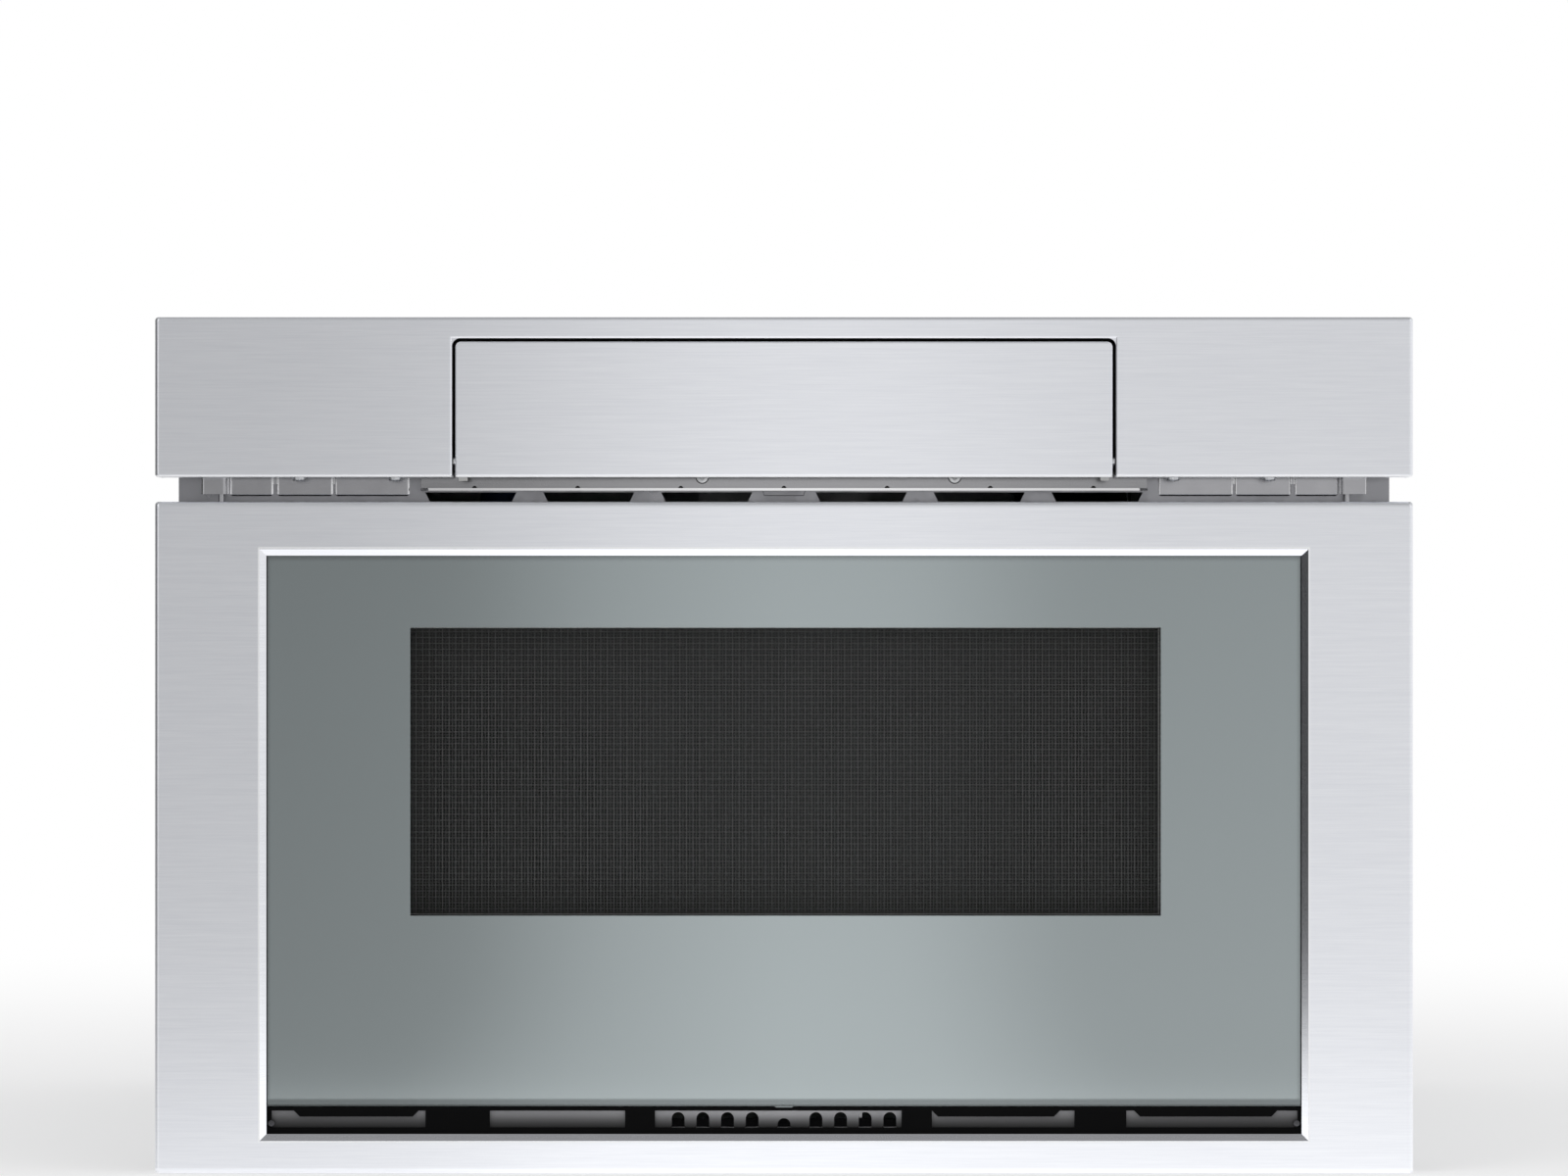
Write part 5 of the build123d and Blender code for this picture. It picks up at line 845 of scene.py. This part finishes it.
def threaded_shank(radius, pitch, length, place):
    """A shank whose thread is a screwed profile, standing on its place."""
    core, tooth, steps_a_turn = radius * 0.8, radius * 0.2, 16
    bpy.ops.object.select_all(action="DESELECT")
    bpy.ops.mesh.primitive_plane_add(size=1, location=(0, 0, 0))
    profile = bpy.context.object
    pick(profile, lambda centre, normal: True)
    bpy.ops.mesh.merge(type="CENTER")
    bpy.ops.transform.translate(value=(core, 0, 0))
    bpy.ops.mesh.select_mode(type="VERT")
    bpy.ops.mesh.select_all(action="SELECT")
    for way in (tooth, -tooth):
        bpy.ops.mesh.extrude_region_move(TRANSFORM_OT_translate={"value": (way, 0, pitch / 2)})
    bpy.ops.object.mode_set(mode="OBJECT")
    thread = profile.modifiers.new("thread", "SCREW")
    thread.angle = 2 * math.pi
    thread.screw_offset = pitch
    thread.iterations = max(1, int(length / pitch) - 1)
    thread.steps = thread.render_steps = steps_a_turn
    alone(profile)
    bpy.ops.object.modifier_apply(modifier="thread")
    profile.location = place
    bpy.ops.object.transform_apply(location=True, rotation=False, scale=False)
    return profile


shanks = [threaded_shank(radius=0.0014, pitch=0.0005, length=0.006, place=place)
          for place in fascia_places]
front_screws = joined([fascia_heads, visor_heads] + shanks)
settled(front_screws, "front_screw_set", "chassis", bright_zinc)
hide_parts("front_screws")
bpy.data.objects.remove(fascia_head)
bpy.data.objects.remove(visor_head)


# Slot screws: two small pan heads hold the ends of the black strip. Their plating is dark, so
# that they hardly show.
slot_screw_x, slot_screw_z = 0.2474, 0.0129
slot_head = pan_head(radius=0.0016, height=0.0009, sides=24)
slot_places = [(x, strip_low.y, slot_screw_z) for x in (-slot_screw_x, slot_screw_x)]
slot_screws = set_at(slot_head, slot_places, (0, -1, 0))
dark_plating = plated("dark_plating", colour(0.1, 0.1, 0.105), colour(0.06, 0.06, 0.065))
settled(slot_screws, "slot_screws", "drawer", dark_plating)
bpy.data.objects.remove(slot_head)


# Sill strip: a black strip on the flange under the drawer, which is painted shade seen through
# the air slot. Its front edges are rounded.
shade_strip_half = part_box("inner_door")[1].x
shade_strip_thick, shade_strip_foot, shade_strip_top = 0.0014, 0.0062, 0.0135
shade_strip = block((-shade_strip_half, flange_low.y - shade_strip_thick, flange_low.z + shade_strip_foot),
             (shade_strip_half, flange_low.y, flange_low.z + shade_strip_top))
pick(shade_strip, lambda centre, normal: normal.y < -0.9)
bpy.ops.mesh.bevel(offset=0.0005, segments=2)
# Matt black for the painted shade of this strip and of the visor's reliefs.
shade_black = moulded("painted_shade_black", colour(0.01, 0.01, 0.011), rough=0.8, grain=1800, gloss=0.2)
settled(shade_strip, "sill_shade_strip", "chassis", shade_black)


# Visor: an L of thin rolled sheet above the vents. Its cut front edge is bare, with a painted
# highlight on it, and black discs along its bend are painted shade in the half-round reliefs.
rolled_sheet = Finish("visor_sheet")
grain = rolled_sheet.noise((60, 900, 900), 3)
bare_depth = 0.0003
# The bare cut edge is painted near-white: a painted highlight.
cut_edge_highlight = rolled_sheet.along("Y") < visor_low.y + bare_depth
dress(rolled_sheet.surface(
    Base_Color=rolled_sheet.colours(
        rolled_sheet.colours(colour(0.36, 0.36, 0.37), colour(0.44, 0.44, 0.455), grain),
        colour(0.95, 0.95, 0.96), cut_edge_highlight),
    Metallic=1.0,
    Roughness=0.13 + grain * 0.08,
    Normal=rolled_sheet.relief(grain, 0.00001),
), "vent_visor")
# Black discs in the reliefs: painted shade.
shade_disc_radius, shade_disc_thick, shade_disc_pitch, shade_disc_lift = 0.0012, 0.0004, 0.0501, 0.0012
shade_disc = disc(16, shade_disc_radius, shade_disc_thick, shade_disc_thick / 2)
pick(shade_disc, lambda centre, normal: normal.z > 0.9)
bpy.ops.mesh.bevel(offset=0.0001, segments=2)
bpy.ops.object.mode_set(mode="OBJECT")
shade_disc_places = [(shade_disc_pitch * step, flange_low.y - shade_disc_lift, visor_low.z + shade_disc_radius)
               for step in range(-3, 4)]
settled(set_at(shade_disc, shade_disc_places, (0, -1, 0)), "relief_shade_discs", "chassis", shade_black)
bpy.data.objects.remove(shade_disc)


# Bumpers: two small white rubber pads under the lower corners of the control panel's skin. They
# are pushed onto its edge and soften the closing.
rubber = moulded("white_rubber", colour(0.5, 0.5, 0.49), rough=0.5)
pad_x, pad_half, pad_front, pad_back = 0.1548, 0.0021, -0.0235, -0.0195
pad_low, pad_high = flap_low.z - 0.0017, flap_low.z + 0.0003
pads = [block((x - pad_half, pad_front, pad_low), (x + pad_half, pad_back, pad_high))
        for x in (-pad_x, pad_x)]
for pad in pads:
    pick(pad, lambda centre, normal: normal.z < -0.9)
    bpy.ops.mesh.bevel(offset=0.0006, segments=3)
    bpy.ops.object.mode_set(mode="OBJECT")
settled(joined(pads), "panel_bumpers", "panel", rubber)


# Touch glass of the control panel: a strip of black glass with a high gloss, laid on the slope of
# the wedge. It is a little smeared.
touch = Finish("black_touch_glass")
smear = touch.noise((35, 60, 60), 3)
dress(touch.surface(
    Base_Color=touch.colours(colour(0.01, 0.01, 0.012), colour(0.014, 0.014, 0.016), smear),
    Roughness=0.03 + smear * 0.03,
    Coat_Weight=1.0,
), "control_glass")


# Print on the touch glass: pale ceramic ink for the digits, the clock and plain signs, fired on
# the sloping face that looks at the user once the panel has tilted out.
glass_tilt = -0.8554
glass_middle = Vector((0, -0.001725, 0.3646))
ink_thick = 0.00004


def on_glass(piece, right, up):
    """Lays a flat piece on the sloping glass, at a place measured from its middle."""
    alone(piece)
    piece.rotation_euler = (glass_tilt, 0, 0)
    slope = Vector((0, math.cos(glass_tilt), math.sin(glass_tilt)))
    outward = Vector((0, -math.sin(glass_tilt), math.cos(glass_tilt)))
    piece.location = glass_middle + Vector((right, 0, 0)) + up * slope + ink_thick * outward
    bpy.ops.object.transform_apply(location=True, rotation=True, scale=True)
    return piece


def figures(text, height, right, up):
    """Figures of the plain built-in typeface, as a flat mesh."""
    bpy.ops.object.select_all(action="DESELECT")
    bpy.ops.object.text_add()
    line = bpy.context.object
    line.data.body = text
    line.data.size = height * 1.4
    line.data.align_x = "CENTER"
    line.data.align_y = "CENTER"
    line.data.resolution_u = 3
    line.data.extrude = ink_thick / 2
    bpy.ops.object.convert(target="MESH")
    return on_glass(line, right, up)


def sign(corners, radius, turn, right, up):
    """A sign with a few corners in a thin ring."""
    shape = disc(corners, radius, ink_thick, turn=turn)
    pick(shape, lambda centre, normal: normal.z > 0.9)
    bpy.ops.mesh.inset(thickness=radius * 0.1)
    bpy.ops.object.mode_set(mode="OBJECT")
    ring_sides, ring_outer, ring_inner = 40, 0.0072, 0.0068
    ring = disc(ring_sides, ring_outer, ink_thick)
    cut(ring, disc(ring_sides, ring_inner, ink_thick * 3))
    return on_glass(joined([ring, shape]), right, up)


printed = [figures("12:00", height=0.017, right=-0.105, up=0.003)]
digit_height, digit_step, row_step, digits_a_row = 0.0075, 0.021, 0.022, 5
first_digit = (-0.045, 0.0125)
for place, digit in enumerate("1234567890"):
    row, column = divmod(place, digits_a_row)
    printed.append(figures(digit, digit_height, first_digit[0] + digit_step * column,
                           first_digit[1] - row_step * row))
sign_level = 0.002
signs = ((3, 0.0042, math.pi / 6, 0.078), (4, 0.0038, math.pi / 4, 0.1),
         (3, 0.0036, -math.pi / 6, 0.122), (24, 0.0026, 0, 0.144))
for corners, radius, turn, right in signs:
    printed.append(sign(corners, radius, turn, right, sign_level))
ink = Finish("pale_ink")
dust = ink.noise((1500, 1500, 1500), 2)
pale_ink = ink.surface(
    Base_Color=ink.colours(colour(0.72, 0.73, 0.75), colour(0.84, 0.85, 0.87), dust),
    Roughness=0.45 + dust * 0.1,
)
settled(joined(printed), "panel_print", "panel", pale_ink)


# Floor and backdrop: a pale studio floor that runs out into plain white, and keeps the shadow.
# Metal and glass see it in the tones of the card, and lighter close to the object.
floor_size, floor_drop = 60, 0.0004
bpy.ops.object.select_all(action="DESELECT")
bpy.ops.mesh.primitive_plane_add(size=floor_size, location=(0, 0, cad_box[0][2] - floor_drop))
floor = bpy.context.object
floor.name = "studio_floor"
card_tones = [(0.3, 0.405), (0.375, 0.44), (0.43, 0.7), (0.5, 0.87), (0.55, 0.85), (0.61, 0.61),
              (0.75, 0.65)]
near_tones = [(0.22, 0.61), (0.35, 0.77), (0.42, 0.86), (0.46, 1.0), (0.5, 0.98), (0.62, 0.94),
              (0.85, 0.7)]


def from_left(finish, half, tones):
    """Tones from left to right, over half a width on each side of the middle."""
    return finish.ramp((finish.along("X") + half) / (2 * half), tones)


ground = Finish("studio_floor")
away = ground.node("ShaderNodeVectorMath", {"operation": "LENGTH"}, {0: ground.place()}, "Value")
fade = ground.eased(away, 0.55, 1.9, 0.35, 1.0)
far_gain, near_gain = 1.22, 1.3
far_tone = from_left(ground, 0.9, card_tones) * far_gain
near_tone = from_left(ground, 1.2, near_tones) * near_gain
near = ground.eased(ground.along("Y"), -0.65, -0.12)
dim = ground.eased(ground.along("X"), -1.2, -0.45, 0.08, 1.0)
mirrored = ground.glow(ground.colours(far_tone, near_tone, near) * dim)
paper = ground.node("ShaderNodeBsdfDiffuse", {}, {"Color": colour(0.93, 0.93, 0.935)})
white = ground.glow(colour(1, 1, 1))
mixed = ground.node("ShaderNodeMixShader", {}, {0: fade * ground.ray("Camera"), 1: paper, 2: white})
both = ground.node("ShaderNodeMixShader", {}, {0: ground.ray("Glossy"), 1: mixed, 2: mirrored})
ground.node("ShaderNodeOutputMaterial", {}, {"Surface": both})
floor.data.materials.append(ground.owner)


# Studio: the room is a plain white tent for the camera, and a little weaker for matt faces. Metal
# and glass see it darker on the left and above.
world = bpy.data.worlds.new("studio")
bpy.context.scene.world = world
room = Finish(world)
way = room.node("ShaderNodeTexCoord", {}, {}, "Generated")
right = room.node("ShaderNodeSeparateXYZ", {}, {0: way}, "X")
high = room.node("ShaderNodeSeparateXYZ", {}, {0: way}, "Z")
sides = room.ramp(right * 0.5 + 0.5, [
    (0.0, 0.05), (0.1, 0.09), (0.24, 0.5), (0.5, 0.7), (0.8, 0.75), (1.0, 0.9),
])
ceiling = room.eased(high, 0.5, 0.95)
mirrored = sides * (1 - ceiling) + 0.27 * ceiling
seen = room.ray("Camera")
diffuse = room.ray("Diffuse")
level = seen + (1 - seen) * (diffuse * 0.8 + (1 - diffuse) * mirrored)
sky = room.node("ShaderNodeBackground", {}, {"Color": colour(1, 1, 1), "Strength": level})
room.node("ShaderNodeOutputWorld", {}, {"Surface": sky})


# Card in front of the object, seen only in reflections: it gives the glass and the brushed
# fronts their soft change from dark on the left to bright in the middle.
card_place, card_width, card_height = (0, -1.35, 0.6), 5, 2.6
bpy.ops.object.select_all(action="DESELECT")
bpy.ops.mesh.primitive_plane_add(size=1, location=card_place, rotation=(math.pi / 2, 0, 0))
card = bpy.context.object
card.name = "reflection_card"
card.scale = (card_width, card_height, 1)
bpy.ops.object.transform_apply(location=True, rotation=True, scale=True)
silk = Finish("reflection_card")
far_left = silk.change(silk.along("X"), -1.2, -0.7, 0.4, 0.0)
lift = silk.change(silk.along("Z"), 0.0, 0.5, 1.2, 0.92)
tone = (from_left(silk, 0.9, card_tones) + far_left) * lift
silk.node("ShaderNodeOutputMaterial", {}, {"Surface": silk.glow(tone)})
card.data.materials.append(silk.owner)
card.visible_camera = False
card.visible_diffuse = False
card.visible_shadow = False


# Lights: one wide soft lamp above on the left, and a weaker and smaller one on the right. Both
# look at the middle of the object, close behind its front.
lamp_aim = Vector((0, 0.1, 0.2))


def soft_lamp(name, place, size, power):
    lamp = bpy.data.lights.new(name, "AREA")
    lamp.shape = "RECTANGLE"
    lamp.size = lamp.size_y = size
    lamp.energy = power
    holder = bpy.data.objects.new(name, lamp)
    bpy.context.scene.collection.objects.link(holder)
    holder.location = place
    holder.rotation_euler = (lamp_aim - Vector(place)).to_track_quat("-Z", "Y").to_euler()


soft_lamp("lamp_left", (-1.8, -2.2, 2.4), size=1.6, power=14)
soft_lamp("lamp_right", (2.2, -1.6, 1.8), size=1.4, power=7)


# Camera: straight in front of the drawer, level with the middle of the photograph. Its picture
# is as wide as the photograph is at the drawer's front.
distance, picture_width, picture_middle = 3.0, 0.7557, 0.2712
sight = bpy.data.cameras.new("camera")
sight.sensor_width = 36
sight.lens = sight.sensor_width * distance / picture_width
camera = bpy.data.objects.new("camera", sight)
bpy.context.scene.collection.objects.link(camera)
camera.location = (0, cad_box[0][1] - distance, picture_middle)
camera.rotation_euler = (math.pi / 2, 0, 0)
bpy.context.scene.camera = camera
bpy.context.scene.view_settings.view_transform = "Standard"
